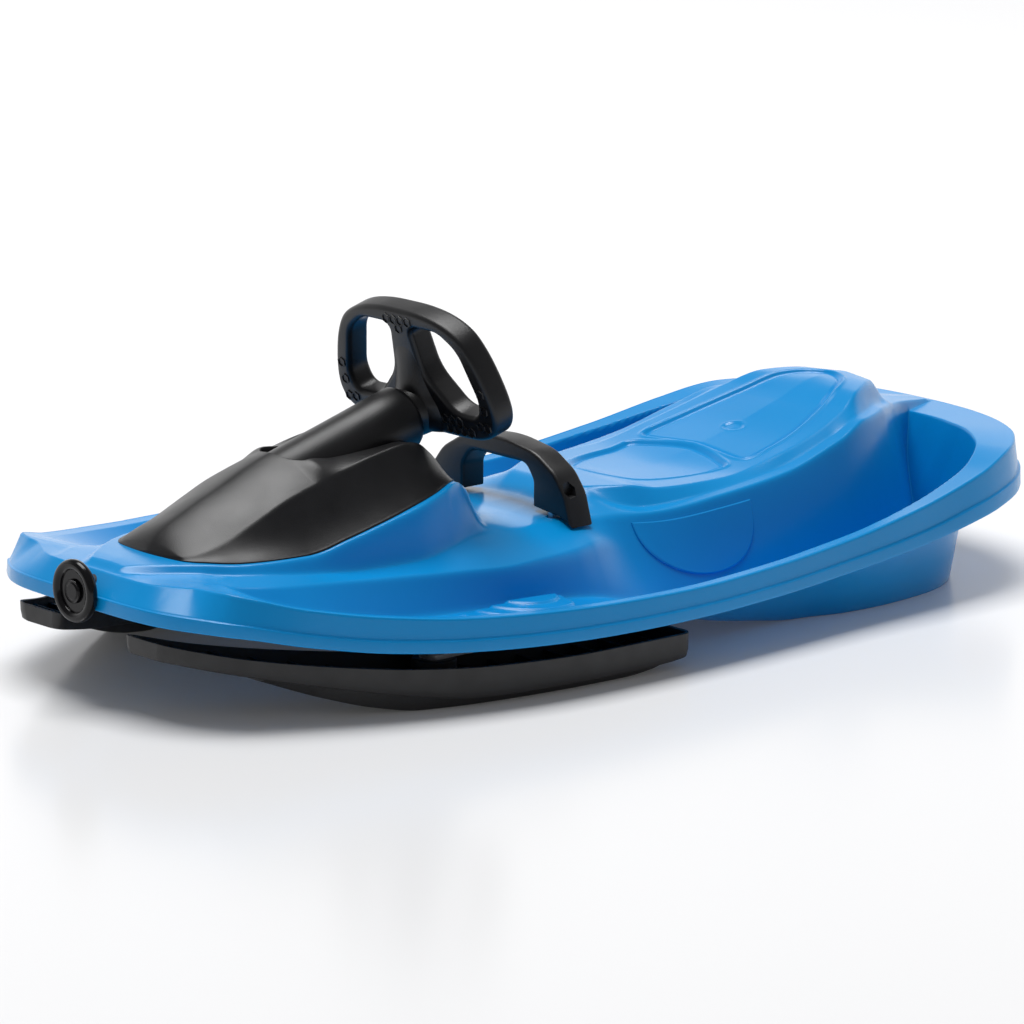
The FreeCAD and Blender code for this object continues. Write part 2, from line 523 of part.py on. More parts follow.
for side, tag in ((1, "left"), (-1, "right")):
    X, Y = side * px, D("pin_y")
    tray, caps = ski_tray(side)
    parts = [feature("ski_tray_" + tag, tray)] + [feature("ski_cap_%s_%d" % (tag, i), c) for i, c in enumerate(caps)]
    parts.append(cyl("ski_hub_" + tag, "dims.ski_hub_r", 29.1, Vector(X, Y, 12.9)))
    for i, ry in enumerate((-500, -450, -400, -350, -240, -180, -120, -70)):
        xo, xi, zb = curve(SKI_OUT, ry), curve(SKI_IN, ry), curve(SKI_BOT, ry)
        parts.append(box("ski_rib_%s_%d" % (tag, i), xo - xi - 10, 3, 14, Vector((xi + 5) if side > 0 else (-xo + 5), ry - 1.5, zb + 2)))
    body = fuse("ski_body_" + tag, parts)
    NODES.append(cut("ski_" + tag, body, [
        cyl("ski_bore_" + tag, "dims.kingpin_bore_r", 60, Vector(X, Y, 5)),
        cyl("ski_counterbore_" + tag, 12.5, 11, Vector(X, Y, 5))]))
    NODES.append(feature("ski_runner_" + tag, runner_solid(side)))
    # steering arm screwed on the hub, with its upright pin
    arm = padded("arm_plate_" + tag, rounded([(-13, -14), (13, -14), (13, 80), (-13, 80)], 10), "dims.arm_t",
                 holes=[(0, 0, 6.6)], pos=Vector(X, Y, 42.02))
    apin = cyl("arm_pin_" + tag, "dims.arm_pin_r", 15.3, Vector(X, ly, 43))
    NODES.append(fuse("ski_arm_" + tag, [arm, apin]))
    # kingpin with its lower head
    pin = cyl("kingpin_rod_" + tag, "dims.kingpin_r", 65.5, Vector(X, Y, 12.5))
    head = cyl("kingpin_head_" + tag, "dims.kingpin_head_r", 3.7, Vector(X, Y, 12.2))
    NODES.append(fuse("kingpin_" + tag, [pin, head]))
nuts = []
for s in (-1, 1):
    ring = cyl("nut_blank_%d" % (s + 1), "dims.nut_r", "dims.nut_h", Vector(s * px, D("pin_y"), 70.5))
    nuts.append(cut("nut_%d" % (s + 1), ring, [cyl("nut_bore_%d" % (s + 1), "dims.kingpin_r", 20, Vector(s * px, D("pin_y"), 65))]))
NODES.append(group("kingpin_nuts", nuts))

# ----------------------------------------------------------------------- brake
H_OUT = [(-112, 112.5), (-102, 144), (-86, 164), (-56, 181), (0, 190), (56, 181), (86, 164), (102, 144), (112, 112.5), (98, 120),
         (54, 125), (54, 152), (42, 168), (-42, 168), (-54, 152), (-54, 125), (-98, 120)]
handle = padded("handle_blank", rounded(H_OUT, [0, 16, 26, 40, 120, 40, 26, 16, 0, 0, 0, 6, 12, 12, 6, 0, 0], 4), "dims.brk_depth",
                pos=Vector(0, D("brk_front") + D("brk_depth"), 0), rot=X_UP_Y)
ax, at = D("brk_arm_x"), D("brk_arm_t")
ay, az = D("axle_y"), D("axle_z")
cuts = []
for s in (-1, 1):
    cuts.append(box("handle_slot_%d" % (s + 1), at + 0.6, 18.6, 62, Vector(s * ax - at / 2 - 0.3, -39.3, 104)))
    cuts.append(cyl("handle_bolt_hole_%d" % (s + 1), 4.2, 46, Vector(59 if s > 0 else -105, -30, 148), TO_X))
    cuts.append(cyl("handle_head_hole_%d" % (s + 1), 8.0, 24, Vector(87 if s > 0 else -111, -30, 148), TO_X))
NODES.append(cut("brake_handle", handle, cuts))
ARM = [(-38.6, 164), (-38.6, 92), (-30, 76), (34, 60), (56, 60), (104, 6), (116, 8), (112, 26), (66, 76), (50, 82), (30, 80),
       (-18, 92), (-21.2, 98), (-21.2, 164)]
bolts = []
for s, tag in ((1, "left"), (-1, "right")):
    NODES.append(padded("brake_arm_" + tag, rounded(ARM, [2, 8, 8, 6, 6, 1, 1, 4, 6, 6, 6, 6, 3, 2], 4), "dims.brk_arm_t",
                        holes=[(ay, az, "dims.axle_bore_r"), (-30, 148, 4.2)],
                        pos=Vector(s * ax - at / 2, 0, 0), rot=Y_Z_X))
    shank = cyl("bolt_shank_" + tag, "dims.bolt_r", 28, Vector(60 if s > 0 else -88, -30, 148), TO_X)
    bhead = cyl("bolt_head_" + tag, "dims.bolt_head_r", 5, Vector(87.2 if s > 0 else -92.2, -30, 148), TO_X)
    bolts.append(fuse("brake_bolt_" + tag, [shank, bhead]))
NODES.append(group("brake_bolts", bolts))
NODES.append(cyl("brake_axle", "dims.axle_r", "dims.axle_len", Vector(-D("axle_len") / 2, ay, az), TO_X))
bs = []
for s, tag in ((1, "left"), (-1, "right")):
    NODES.append(padded("brake_bracket_" + tag, rounded([(30, 58), (60, 58), (60, 110), (30, 110)], 6), "dims.arm_t",
                        holes=[(ay, az, "dims.axle_r")], pos=Vector(s * 98 - 4, 0, 0), rot=Y_Z_X))
    for i, yy in enumerate((36, 54)):
        bs.append(cyl("bracket_screw_%s_%d" % (tag, i), 2.0, 3.2, Vector(s * 98, yy, 110.2)))
NODES.append(group("bracket_screws", bs))

# --------------------------------------------------------- side hatches in the seat walls
def hatch(side):
    wires = []
    for y in [44, 56, 75, 95, 115, 135, 155, 172, 182]:
        f = 0.12 + 0.72 * math.sqrt(max(0.0, 1 - ((y - 113) / 71.0) ** 2))
        (xc, zc), (xd, zd) = half_profile(y)[2], half_profile(y)[4]
        q = math.hypot(xd - xc, zd - zc)
        nx, nz = -(zd - zc) / q, (xd - xc) / q
        pts = []
        for g, d in ((0.06, 0.3), (f, 0.3), (f, 2.3), (0.06, 2.3)):
            pts.append((side * (xc + (xd - xc) * g + nx * d), y, zc + (zd - zc) * g + nz * d))
        wires.append(poly_wire(pts))
    return check(Part.makeLoft(wires, True, True), "hatch")


NODES.append(feature("hatch_left", hatch(1)))
NODES.append(feature("hatch_right", hatch(-1)))

# ------------------------------------------------------------ tow knob and reel
kz, kf = D("knob_z"), D("knob_front")
disc = cyl("knob_disc", "dims.knob_r", "dims.knob_t", Vector(0, kf, kz), TO_Y)
stem = cyl("knob_stem", "dims.stem_r", "dims.stem_len", Vector(0, kf + D("knob_t") - 0.5, kz), TO_Y)
dish = cyl("knob_dish", 20, 5, Vector(0, kf - 1, kz), TO_Y)
NODES.append(cut("tow_knob", fuse("knob_body", [disc, stem]), [dish]))
NODES.append(cyl("knob_cap", 12.0, 2.5, Vector(0, kf + 1.4, kz), TO_Y))
gr = cyl("guide_ring", "dims.guide_r", "dims.guide_len", Vector(0, -570, kz), TO_Y)
NODES.append(cut("rope_guide", gr, [cyl("guide_bore", "dims.stem_bore_r", 60, Vector(0, -590, kz), TO_Y)]))
ry, rz, rr, rh = D("reel_y"), D("reel_z"), D("reel_r"), D("reel_h")
cup = cyl("reel_cup", "dims.reel_r", "dims.reel_h", Vector(0, ry, rz + 3))
NODES.append(cut("reel_housing", cup, [
    cyl("reel_cavity", rr - 2.5, rh - 3, Vector(0, ry, rz + 3)),
    cyl("reel_mouth", 6.0, 30, Vector(0, ry - rr - 15, rz + 20), TO_Y)]))
NODES.append(cyl("reel_cover", "dims.reel_r", 2.8, Vector(0, ry, rz + 0.1)))
lo = cyl("drum_flange_low", "dims.drum_r", 3, Vector(0, ry, rz + 5))
core = cyl("drum_core", "dims.drum_core_r", 22, Vector(0, ry, rz + 6))
hi = cyl("drum_flange_high", "dims.drum_r", 3, Vector(0, ry, rz + 26))
NODES.append(cut("reel_drum", fuse("drum_body", [lo, core, hi]), [
    cyl("drum_bore", 4.05, 60, Vector(0, ry, rz)), cyl("drum_spring_well", 20, 14, Vector(0, ry, rz + 17))]))
NODES.append(cyl("reel_axle", 4.0, 29.8, Vector(0, ry, rz + 3.0)))
spr = cyl("spring_ring", 17, 9, Vector(0, ry, rz + 19))
NODES.append(cut("reel_spring", spr, [cyl("spring_bore", 9, 30, Vector(0, ry, rz + 10))]))

doc.recompute()

for obj in doc.Objects:
    bad = [s for s in obj.State if s in ("Invalid", "Error")]
    if bad:
        raise RuntimeError("%s is %s" % (obj.Label, bad))
os.makedirs("parts", exist_ok=True)
for obj in NODES:
    shape = obj.Shape
    if shape.isNull() or not shape.isValid() or not shape.Solids:
        raise RuntimeError("sub-part %s has no valid solid" % obj.Label)
    shape.exportStep("parts/%s.step" % obj.Label)
    b = shape.BoundBox
    print("%-22s solids %d vol %9.0f  x %.1f %.1f  y %.1f %.1f  z %.1f %.1f" % (
        obj.Label, len(shape.Solids), shape.Volume, b.XMin, b.XMax, b.YMin, b.YMax, b.ZMin, b.ZMax))
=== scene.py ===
import bpy, math, json
import numpy as np
from mathutils import Vector, Matrix


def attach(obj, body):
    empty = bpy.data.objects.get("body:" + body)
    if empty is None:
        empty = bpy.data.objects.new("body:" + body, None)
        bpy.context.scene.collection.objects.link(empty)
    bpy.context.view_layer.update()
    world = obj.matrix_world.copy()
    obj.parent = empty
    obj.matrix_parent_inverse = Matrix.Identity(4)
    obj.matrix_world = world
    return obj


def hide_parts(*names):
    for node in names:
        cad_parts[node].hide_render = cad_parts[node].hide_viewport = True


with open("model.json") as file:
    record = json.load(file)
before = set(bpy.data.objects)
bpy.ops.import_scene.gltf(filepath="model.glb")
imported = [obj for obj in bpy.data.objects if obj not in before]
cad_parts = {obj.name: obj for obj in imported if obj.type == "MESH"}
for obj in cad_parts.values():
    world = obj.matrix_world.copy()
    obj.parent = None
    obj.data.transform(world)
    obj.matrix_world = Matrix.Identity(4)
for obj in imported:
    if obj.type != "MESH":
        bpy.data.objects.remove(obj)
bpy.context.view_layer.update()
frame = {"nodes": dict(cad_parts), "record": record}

MM = 0.001


# ------------------------------------------------------------------ small tools
def pchip(table):
    xs = np.array([p[0] for p in table], float)
    ys = np.array([p[1] for p in table], float)
    h = np.diff(xs)
    d = np.diff(ys) / h
    m = np.zeros_like(ys)
    m[0], m[-1] = d[0], d[-1]
    for i in range(1, len(xs) - 1):
        if d[i - 1] * d[i] > 0:
            w1, w2 = 2 * h[i] + h[i - 1], h[i] + 2 * h[i - 1]
            m[i] = (w1 + w2) / (w1 / d[i - 1] + w2 / d[i])

    def f(y):
        y = np.clip(np.asarray(y, float), xs[0], xs[-1])
        k = np.clip(np.searchsorted(xs, y, side="right") - 1, 0, len(h) - 1)
        s = (y - xs[k]) / h[k]
        return ((1 + 2 * s) * (1 - s) ** 2 * ys[k] + s * (1 - s) ** 2 * h[k] * m[k]
                + s * s * (3 - 2 * s) * ys[k + 1] + s * s * (s - 1) * h[k] * m[k + 1])
    return f


def smax(a, b, k):
    h = np.clip(0.5 + 0.5 * (a - b) / k, 0, 1)
    return b * (1 - h) + a * h + k * h * (1 - h)


def smin(a, b, k):
    return -smax(-a, -b, k)


def sstep(a, b, x):
    t = np.clip((x - a) / (b - a), 0, 1)
    return t * t * (3 - 2 * t)


def mesh_object(name, verts, faces, smooth=True, angle=None):
    me = bpy.data.meshes.new(name)
    me.from_pydata([tuple(v) for v in np.asarray(verts, float)], [], [tuple(f) for f in faces])
    me.validate(clean_customdata=False)
    me.update()
    ob = bpy.data.objects.new(name, me)
    bpy.context.scene.collection.objects.link(ob)
    if smooth:
        me.polygons.foreach_set("use_smooth", [True] * len(me.polygons))
    if angle is not None:
        sharp_by_angle(me, angle)
    return ob


def sharp_by_angle(me, deg):
    import bmesh
    bm = bmesh.new()
    bm.from_mesh(me)
    lim = math.radians(deg)
    for e in bm.edges:
        if len(e.link_faces) == 2 and e.calc_face_angle(0.0) > lim:
            e.smooth = False
    bm.to_mesh(me)
    bm.free()


def fix_normals(ob):
    import bmesh
    bm = bmesh.new()
    bm.from_mesh(ob.data)
    bmesh.ops.recalc_face_normals(bm, faces=bm.faces)
    bm.to_mesh(ob.data)
    bm.free()


def bevel(ob, width, segments=2, angle=35):
    m = ob.modifiers.new("edge", "BEVEL")
    m.width = width
    m.segments = segments
    m.limit_method = "ANGLE"
    m.angle_limit = math.radians(angle)
    m.harden_normals = False
    return m


def grid_faces(nu, nv, base=0, closed_v=False, flip=False):
    out = []
    for i in range(nu - 1):
        for j in range(nv if closed_v else nv - 1):
            a, b = base + i * nv + j, base + i * nv + (j + 1) % nv
            c, d = base + (i + 1) * nv + (j + 1) % nv, base + (i + 1) * nv + j
            out.append((a, d, c, b) if flip else (a, b, c, d))
    return out


def loft_closed(name, sections, cap=True, **kw):
    """Solid skin over closed sections of equal length (lists of 3-D points in metres)."""
    S = np.asarray(sections, float)
    nu, nv = S.shape[0], S.shape[1]
    verts = S.reshape(-1, 3)
    faces = grid_faces(nu, nv, closed_v=True)
    if cap:
        faces.append(tuple(range(nv)))
        faces.append(tuple(reversed(range((nu - 1) * nv, nu * nv))))
    ob = mesh_object(name, verts, faces, **kw)
    fix_normals(ob)
    return ob


def resample(P, n):
    P = np.asarray(P, float)
    s = np.concatenate([[0], np.cumsum(np.linalg.norm(np.diff(P, axis=0), axis=1))])
    t = np.linspace(0, s[-1], n)
    return np.stack([np.interp(t, s, P[:, k]) for k in range(P.shape[1])], 1)


def soften(P, r, n):
    """Polyline with its corners rounded over about r, resampled to n points."""
    Q = resample(P, 600)
    L = np.linalg.norm(np.diff(Q, axis=0), axis=1).sum()
    k = max(1, int(r / (L / 599)))
    ker = np.ones(2 * k + 1) / (2 * k + 1)
    R = Q.copy()
    for _ in range(2):
        ext = np.concatenate([2 * R[0] - R[k:0:-1], R, 2 * R[-1] - R[-2:-k - 2:-1]])
        R = np.stack([np.convolve(ext[:, c], ker, "valid") for c in range(Q.shape[1])], 1)
    R[0], R[-1] = Q[0], Q[-1]
    return resample(R, n)


def lathe(name, prof, origin, axis, seg=96, **kw):
    """Revolves (radius, along) pairs, in millimetres, about an axis through origin."""
    axis = np.array(axis, float) / np.linalg.norm(axis)
    ref = np.array([1.0, 0, 0]) if abs(axis[0]) < 0.9 else np.array([0, 0, 1.0])
    e1 = np.cross(axis, ref); e1 /= np.linalg.norm(e1)
    e2 = np.cross(axis, e1)
    th = np.linspace(0, 2 * math.pi, seg, endpoint=False)
    ring = np.cos(th)[:, None] * e1 + np.sin(th)[:, None] * e2
    V, F = [], []
    idx = []
    for r, a in prof:
        c = np.array(origin, float) + axis * a
        if r <= 1e-6:
            idx.append((len(V), 1)); V.append(c)
        else:
            idx.append((len(V), seg)); V.extend(list(c + ring * r))
    for (i0, n0), (i1, n1) in zip(idx[:-1], idx[1:]):
        for j in range(seg):
            k = (j + 1) % seg
            if n0 == 1 and n1 == 1:
                continue
            if n0 == 1:
                F.append((i0, i1 + j, i1 + k))
            elif n1 == 1:
                F.append((i0 + j, i0 + k, i1))
            else:
                F.append((i0 + j, i0 + k, i1 + k, i1 + j))
    ob = mesh_object(name, np.array(V) * MM, F, **kw)
    fix_normals(ob)
    return ob


def joined(name, obs):
    bpy.ops.object.select_all(action="DESELECT")
    for o in obs:
        o.select_set(True)
    bpy.context.view_layer.objects.active = obs[0]
    bpy.ops.object.join()
    obs[0].name = name
    return obs[0]


# -------------------------------------------------------------------- materials
def new_mat(name):
    m = bpy.data.materials.new(name)
    m.use_nodes = True
    nt = m.node_tree
    return m, nt, nt.nodes["Principled BSDF"]


def plastic(name, col, rough, rough_var=0.06, grain=900.0, grain_h=0.00006, broad=14.0, broad_mix=0.06, coat=0.0, spec=0.5, scuff=0.0):
    m, nt, p = new_mat(name)
    N, L = nt.nodes, nt.links
    co = N.new("ShaderNodeTexCoord")
    n1 = N.new("ShaderNodeTexNoise"); n1.inputs["Scale"].default_value = broad; n1.inputs["Detail"].default_value = 4
    n2 = N.new("ShaderNodeTexNoise"); n2.inputs["Scale"].default_value = grain; n2.inputs["Detail"].default_value = 2
    L.new(co.outputs["Object"], n1.inputs["Vector"]); L.new(co.outputs["Object"], n2.inputs["Vector"])
    ramp = N.new("ShaderNodeValToRGB")
    c = np.array(col)
    ramp.color_ramp.elements[0].color = tuple(np.clip(c * (1 - broad_mix), 0, 1)) + (1,)
    ramp.color_ramp.elements[1].color = tuple(np.clip(c * (1 + broad_mix), 0, 1)) + (1,)
    ramp.color_ramp.elements[0].position, ramp.color_ramp.elements[1].position = 0.3, 0.7
    L.new(n1.outputs["Fac"], ramp.inputs["Fac"])
    L.new(ramp.outputs["Color"], p.inputs["Base Color"])
    mr = N.new("ShaderNodeMapRange")
    mr.inputs["From Min"].default_value, mr.inputs["From Max"].default_value = 0.3, 0.7
    mr.inputs["To Min"].default_value, mr.inputs["To Max"].default_value = rough - rough_var, rough + rough_var
    src = n1
    if scuff > 0:
        ns = N.new("ShaderNodeTexNoise"); ns.inputs["Scale"].default_value = 60; ns.inputs["Detail"].default_value = 6
        L.new(co.outputs["Object"], ns.inputs["Vector"])
        src = ns
    L.new(src.outputs["Fac"], mr.inputs["Value"])
    L.new(mr.outputs["Result"], p.inputs["Roughness"])
    b = N.new("ShaderNodeBump"); b.inputs["Strength"].default_value = 1.0; b.inputs["Distance"].default_value = grain_h
    L.new(n2.outputs["Fac"], b.inputs["Height"]); L.new(b.outputs["Normal"], p.inputs["Normal"])
    p.inputs["Specular IOR Level"].default_value = spec
    p.inputs["Coat Weight"].default_value = coat
    p.inputs["Coat Roughness"].default_value = 0.08
    return m


def metal(name, col, rough):
    m, nt, p = new_mat(name)
    N, L = nt.nodes, nt.links
    co = N.new("ShaderNodeTexCoord")
    n1 = N.new("ShaderNodeTexNoise"); n1.inputs["Scale"].default_value = 80; n1.inputs["Detail"].default_value = 6
    L.new(co.outputs["Object"], n1.inputs["Vector"])
    ramp = N.new("ShaderNodeValToRGB")
    c = np.array(col)
    ramp.color_ramp.elements[0].color = tuple(c * 0.82) + (1,)
    ramp.color_ramp.elements[1].color = tuple(np.clip(c * 1.1, 0, 1)) + (1,)
    L.new(n1.outputs["Fac"], ramp.inputs["Fac"]); L.new(ramp.outputs["Color"], p.inputs["Base Color"])
    mr = N.new("ShaderNodeMapRange")
    mr.inputs["To Min"].default_value, mr.inputs["To Max"].default_value = rough - 0.1, rough + 0.1
    L.new(n1.outputs["Fac"], mr.inputs["Value"]); L.new(mr.outputs["Result"], p.inputs["Roughness"])
    p.inputs["Metallic"].default_value = 1.0
    return m


M_BLUE = plastic("blue_plastic", (0.001, 0.280, 0.68), 0.22, 0.03, 1500, 0.000012, 6.0, 0.03, coat=0.0, spec=0.34)
M_HOOD = plastic("black_textured", (0.006, 0.006, 0.007), 0.35, 0.04, 1150, 0.00014, 30.0, 0.15, spec=0.4)
M_BLACK = plastic("black_plastic", (0.012, 0.012, 0.013), 0.45, 0.06, 700, 0.00005, 20.0, 0.15)
M_SATIN = plastic("black_satin", (0.005, 0.005, 0.006), 0.38, 0.05, 800, 0.00012, 25.0, 0.15, spec=0.45)
M_GLOSS = plastic("black_gloss", (0.004, 0.004, 0.005), 0.16, 0.03, 1500, 0.00001, 20.0, 0.1, spec=0.28)
M_SKI = plastic("ski_plastic", (0.020, 0.020, 0.021), 0.48, 0.06, 800, 0.00008, 18.0, 0.15, scuff=1.0)
M_ZINC = metal("zinc_steel", (0.52, 0.53, 0.56), 0.38)
M_NYLON = plastic("white_nylon", (0.72, 0.71, 0.66), 0.45, 0.05, 600, 0.00004, 20.0, 0.04)
SLOTS = {"blue_plastic": M_BLUE, "black_textured": M_HOOD, "black_plastic": M_BLACK, "black_satin": M_SATIN,
         "black_gloss": M_GLOSS, "ski_plastic": M_SKI, "zinc_steel": M_ZINC, "white_nylon": M_NYLON}


def finish_piece(ob, body, slot, nodes):
    ob.data.materials.clear()
    ob.data.materials.append(SLOTS[slot])
    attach(ob, body)
    if nodes:
        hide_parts(*nodes)


# -------------------------------------------------------------- the shell's lines
OUTLINE = [(0, -572), (40, -572.5), (78, -571.5), (106, -567), (128, -559), (146, -549), (161, -539), (176, -527), (195, -495),
           (213, -462), (245, -396), (272, -314), (290, -222), (295, -120), (292, -20), (284, 90), (273, 200), (264, 311),
           (253, 413), (243, 450), (228, 483), (206, 512), (180, 536), (150, 554), (115, 568.5), (79, 577.5), (40, 582.5), (0, 584)]
RIM_Z = pchip([(-572, 96), (-527, 91), (-462, 78), (-396, 68), (-314, 61), (-222, 57), (-120, 54), (-20, 53), (90, 55),
               (200, 60), (311, 69), (413, 83), (483, 92), (540, 96), (584, 97)])
RIM_H = pchip([(-572, 33), (-527, 39), (-462, 36), (-396, 35), (-314, 33), (-222, 32), (-120, 31), (-20, 30), (90, 31),
               (200, 33), (311, 39), (413, 45), (483, 50), (584, 48)])
# how far in from the lower edge the rim's crest lies, and the height of the lower band
CREST = pchip([(-572.5, 21), (-566, 28), (-556, 30), (-543, 22), (-527, 15), (-495, 9), (-440, 7), (300, 7), (450, 9), (584, 9)])
BAND = pchip([(-572, 14), (-480, 12.5), (0, 12), (300, 14), (450, 17), (584, 17)])
MID_Z = pchip([(-572, 129), (-560, 132.5), (-545, 134.5), (-520, 136.5), (-504, 136.5), (-484, 135.5), (-440, 133), (-373, 133.5), (-322, 143), (-263, 156),
               (-203, 168), (-174, 174), (-152, 166), (-130, 138), (-100, 127), (-60, 122), (-10, 123), (30, 136), (73, 136),
               (120, 131), (171, 130), (230, 141), (288, 155), (350, 174), (416, 193), (452, 191), (464, 184), (482, 162),
               (500, 158), (540, 152), (584, 145)])
B_X = pchip([(-572, 10), (-560, 14), (-548, 21), (-540, 25), (-520, 41), (-504, 53), (-484, 67), (-470, 76), (-450, 87), (-425, 96), (-400, 102), (-366, 106),
             (-308, 108), (-244, 107), (-192, 98), (-174, 90), (-150, 78), (-120, 62), (-60, 46), (-20, 36),
             (20, 50), (65, 78), (102, 93), (137, 100), (182, 102), (250, 103), (320, 98), (363, 89), (400, 73), (430, 56), (455, 40), (490, 20), (584, 8)])
B_Z = pchip([(-572, 129), (-560, 132), (-545, 134), (-520, 136), (-504, 136), (-484, 135.5), (-440, 133), (-373, 133.5), (-322, 143), (-263, 156), (-203, 169),
             (-174, 175), (-152, 166), (-130, 137), (-100, 126), (-60, 121), (-10, 122), (30, 136), (65, 136), (102, 131),
             (182, 132), (266, 147), (320, 161), (363, 175), (400, 188), (430, 190), (452, 187), (464, 181), (482, 161),
             (500, 157), (540, 151), (584, 145)])
# foot of the short wall round the seat's top
R_X = pchip([(-572, 14), (-120, 76), (-60, 66), (-20, 58), (20, 70), (65, 96), (102, 107), (137, 113), (182, 115), (250, 115), (320, 110), (368, 102),
             (400, 86), (425, 70), (455, 52), (490, 30), (584, 11)])
C_X = pchip([(-572, 22), (-560, 26), (-548, 33), (-540, 37), (-520, 52), (-504, 62), (-484, 75), (-470, 83), (-450, 94), (-425, 103), (-400, 109), (-370, 112.5), (-308, 114),
             (-244, 115), (-192, 107), (-160, 100), (-120, 96), (-80, 95), (-30, 96), (20, 105), (70, 118), (153, 128), (238, 130), (324, 125),
             (375, 112), (420, 90), (450, 70), (485, 46), (510, 34), (584, 14)])
C_Z = pchip([(-572, 128), (-548, 128.8), (-530, 128.5), (-505, 128.5), (-487, 128), (-474, 126.5), (-427, 123.5), (-370, 118), (-308, 113),
             (-244, 112), (-192, 117), (-160, 121), (-120, 120), (-80, 118), (-30, 117), (20, 116), (70, 115), (153, 122), (238, 132), (324, 154),
             (375, 168), (420, 168), (450, 164), (485, 158), (510, 155), (584, 144)])
K_X = pchip([(-572, 60), (-545, 70), (-520, 88), (-495, 101), (-474, 110), (-425, 125), (-364, 130), (-285, 135), (-210, 145), (-146, 153),
             (-60, 143), (-18, 132), (30, 124)])
K_Z = pchip([(-572, 128), (-545, 128.3), (-520, 127.5), (-495, 125.5), (-474, 120), (-425, 115), (-364, 110.7), (-285, 105), (-210, 101), (-146, 98),
             (-60, 98.5), (-18, 99), (30, 100)])
D_X = pchip([(-572, 84), (-545, 90), (-520, 98), (-500, 105), (-480, 114), (-440, 136), (-400, 148), (-350, 152), (-300, 155), (-200, 158),
             (-100, 159), (0, 162), (100, 168), (200, 171), (300, 168), (380, 158), (430, 140), (465, 112), (490, 82),
             (505, 62), (530, 50), (584, 20)])
FLOOR_Z = pchip([(-572, 127.6), (-545, 127.8), (-520, 126.5), (-503, 124), (-480, 115), (-440, 100), (-400, 88), (-350, 77), (-300, 68),
                 (-200, 63), (-120, 60), (-60, 54), (0, 40), (60, 23), (121, 12), (190, 4), (418, 4), (440, 4), (584, 4)])
NF = pchip([(-572, 20), (250, 22), (320, 25), (413, 34), (483, 46), (545, 58), (584, 62)])
NE = pchip([(-572, 60), (-520, 58), (-480, 54), (-400, 52), (-300, 56), (-200, 64), (-100, 73), (0, 84), (56, 82), (121, 78), (190, 68),
            (250, 50), (317, 44), (370, 46), (413, 54), (483, 78), (545, 108), (584, 124)])


def spline(P, n):
    """Smooth curve through the points, mirrored at both ends, n points spaced evenly."""
    P = np.array(P, float)
    Q = np.concatenate([[[-P[1, 0], P[1, 1]]], P, [[-P[-2, 0], P[-2, 1]]]])
    out = []
    for i in range(1, len(Q) - 2):
        p0, p1, p2, p3 = Q[i - 1], Q[i], Q[i + 1], Q[i + 2]
        t0 = 0.0
        t1 = t0 + np.linalg.norm(p1 - p0) ** 0.5
        t2 = t1 + np.linalg.norm(p2 - p1) ** 0.5
        t3 = t2 + np.linalg.norm(p3 - p2) ** 0.5
        for t in np.linspace(t1, t2, 24, endpoint=False):
            a1 = (t1 - t) / (t1 - t0) * p0 + (t - t0) / (t1 - t0) * p1
            a2 = (t2 - t) / (t2 - t1) * p1 + (t - t1) / (t2 - t1) * p2
            a3 = (t3 - t) / (t3 - t2) * p2 + (t - t2) / (t3 - t2) * p3
            b1 = (t2 - t) / (t2 - t0) * a1 + (t - t0) / (t2 - t0) * a2
            b2 = (t3 - t) / (t3 - t1) * a2 + (t - t1) / (t3 - t1) * a3
            out.append((t2 - t) / (t2 - t1) * b1 + (t - t1) / (t2 - t1) * b2)
    out.append(Q[-2])
    return resample(np.array(out), n)


def box_mean(xs, zs, x, r):
    """Mean over [x-r, x+r] of the polyline through (xs, zs) at each row; rounds its corners."""
    acc = 0.0
    K = 9
    for k in np.linspace(-1, 1, K):
        acc = acc + poly_at(xs, zs, np.abs(x + k * r))
    return acc / K


def poly_at(xs, zs, x):
    out = np.array(zs[0] + 0 * x)
    for i in range(len(xs) - 1):
        a, b = xs[i], xs[i + 1]
        t = np.clip((x - a) / np.maximum(b - a, 1e-3), 0, 1 if i < len(xs) - 2 else 3.0)
        out = out + (zs[i + 1] - zs[i]) * t
    return out


def wall_line(y):
    """Upper and lower end of the seat's side wall in the well."""
    xc, zc = C_X(y), C_Z(y)
    return xc, zc, np.maximum(D_X(y), xc + 6), FLOOR_Z(y)


def seat_z(x, y):
    """Centre body: seat, deck and collar, falling away to the wells."""
    xc, zc, xd, fl = wall_line(y)
    xb, zb, za = np.minimum(B_X(y), xc - np.minimum(5.0, 0.2 * xc)), B_Z(y), MID_Z(y)
    # short wall round the seat's top; in front of the seat it lies on the straight line to C
    seat = sstep(10, 70, y) * (1 - sstep(452, 486, y))
    xr = np.clip(R_X(y), xb + 3, xc - 2)
    t = (xr - xb) / np.maximum(xc - xb, 1.0)
    zr = (zb + (zc - zb) * t) * (1 - seat) + np.minimum(zc + 1.0, zb) * seat
    # deck edge beside the hood
    w = sstep(-30, 30, y)
    xk = np.clip(K_X(y), xc + 2.0, xd - 2.0) * (1 - w) + (xc + 0.35 * (xd - xc)) * w
    zk = np.clip(K_Z(y), fl + 1.0, zc + 1.0) * (1 - w) + (zc + 0.35 * (fl - zc)) * w
    drop = fl - 14
    xe = xd + (xd - xk) * 14.0 / np.maximum(zk - fl, 8.0)
    r = 1.9 + 2.1 * sstep(-170, -110, y) * (1 - sstep(20, 70, y)) + 2.5 * sstep(400, 450, y)
    return box_mean([0 * y, xb, xr, xc, xk, xe], [za, zb, zr, zc, zk, drop], x, r)


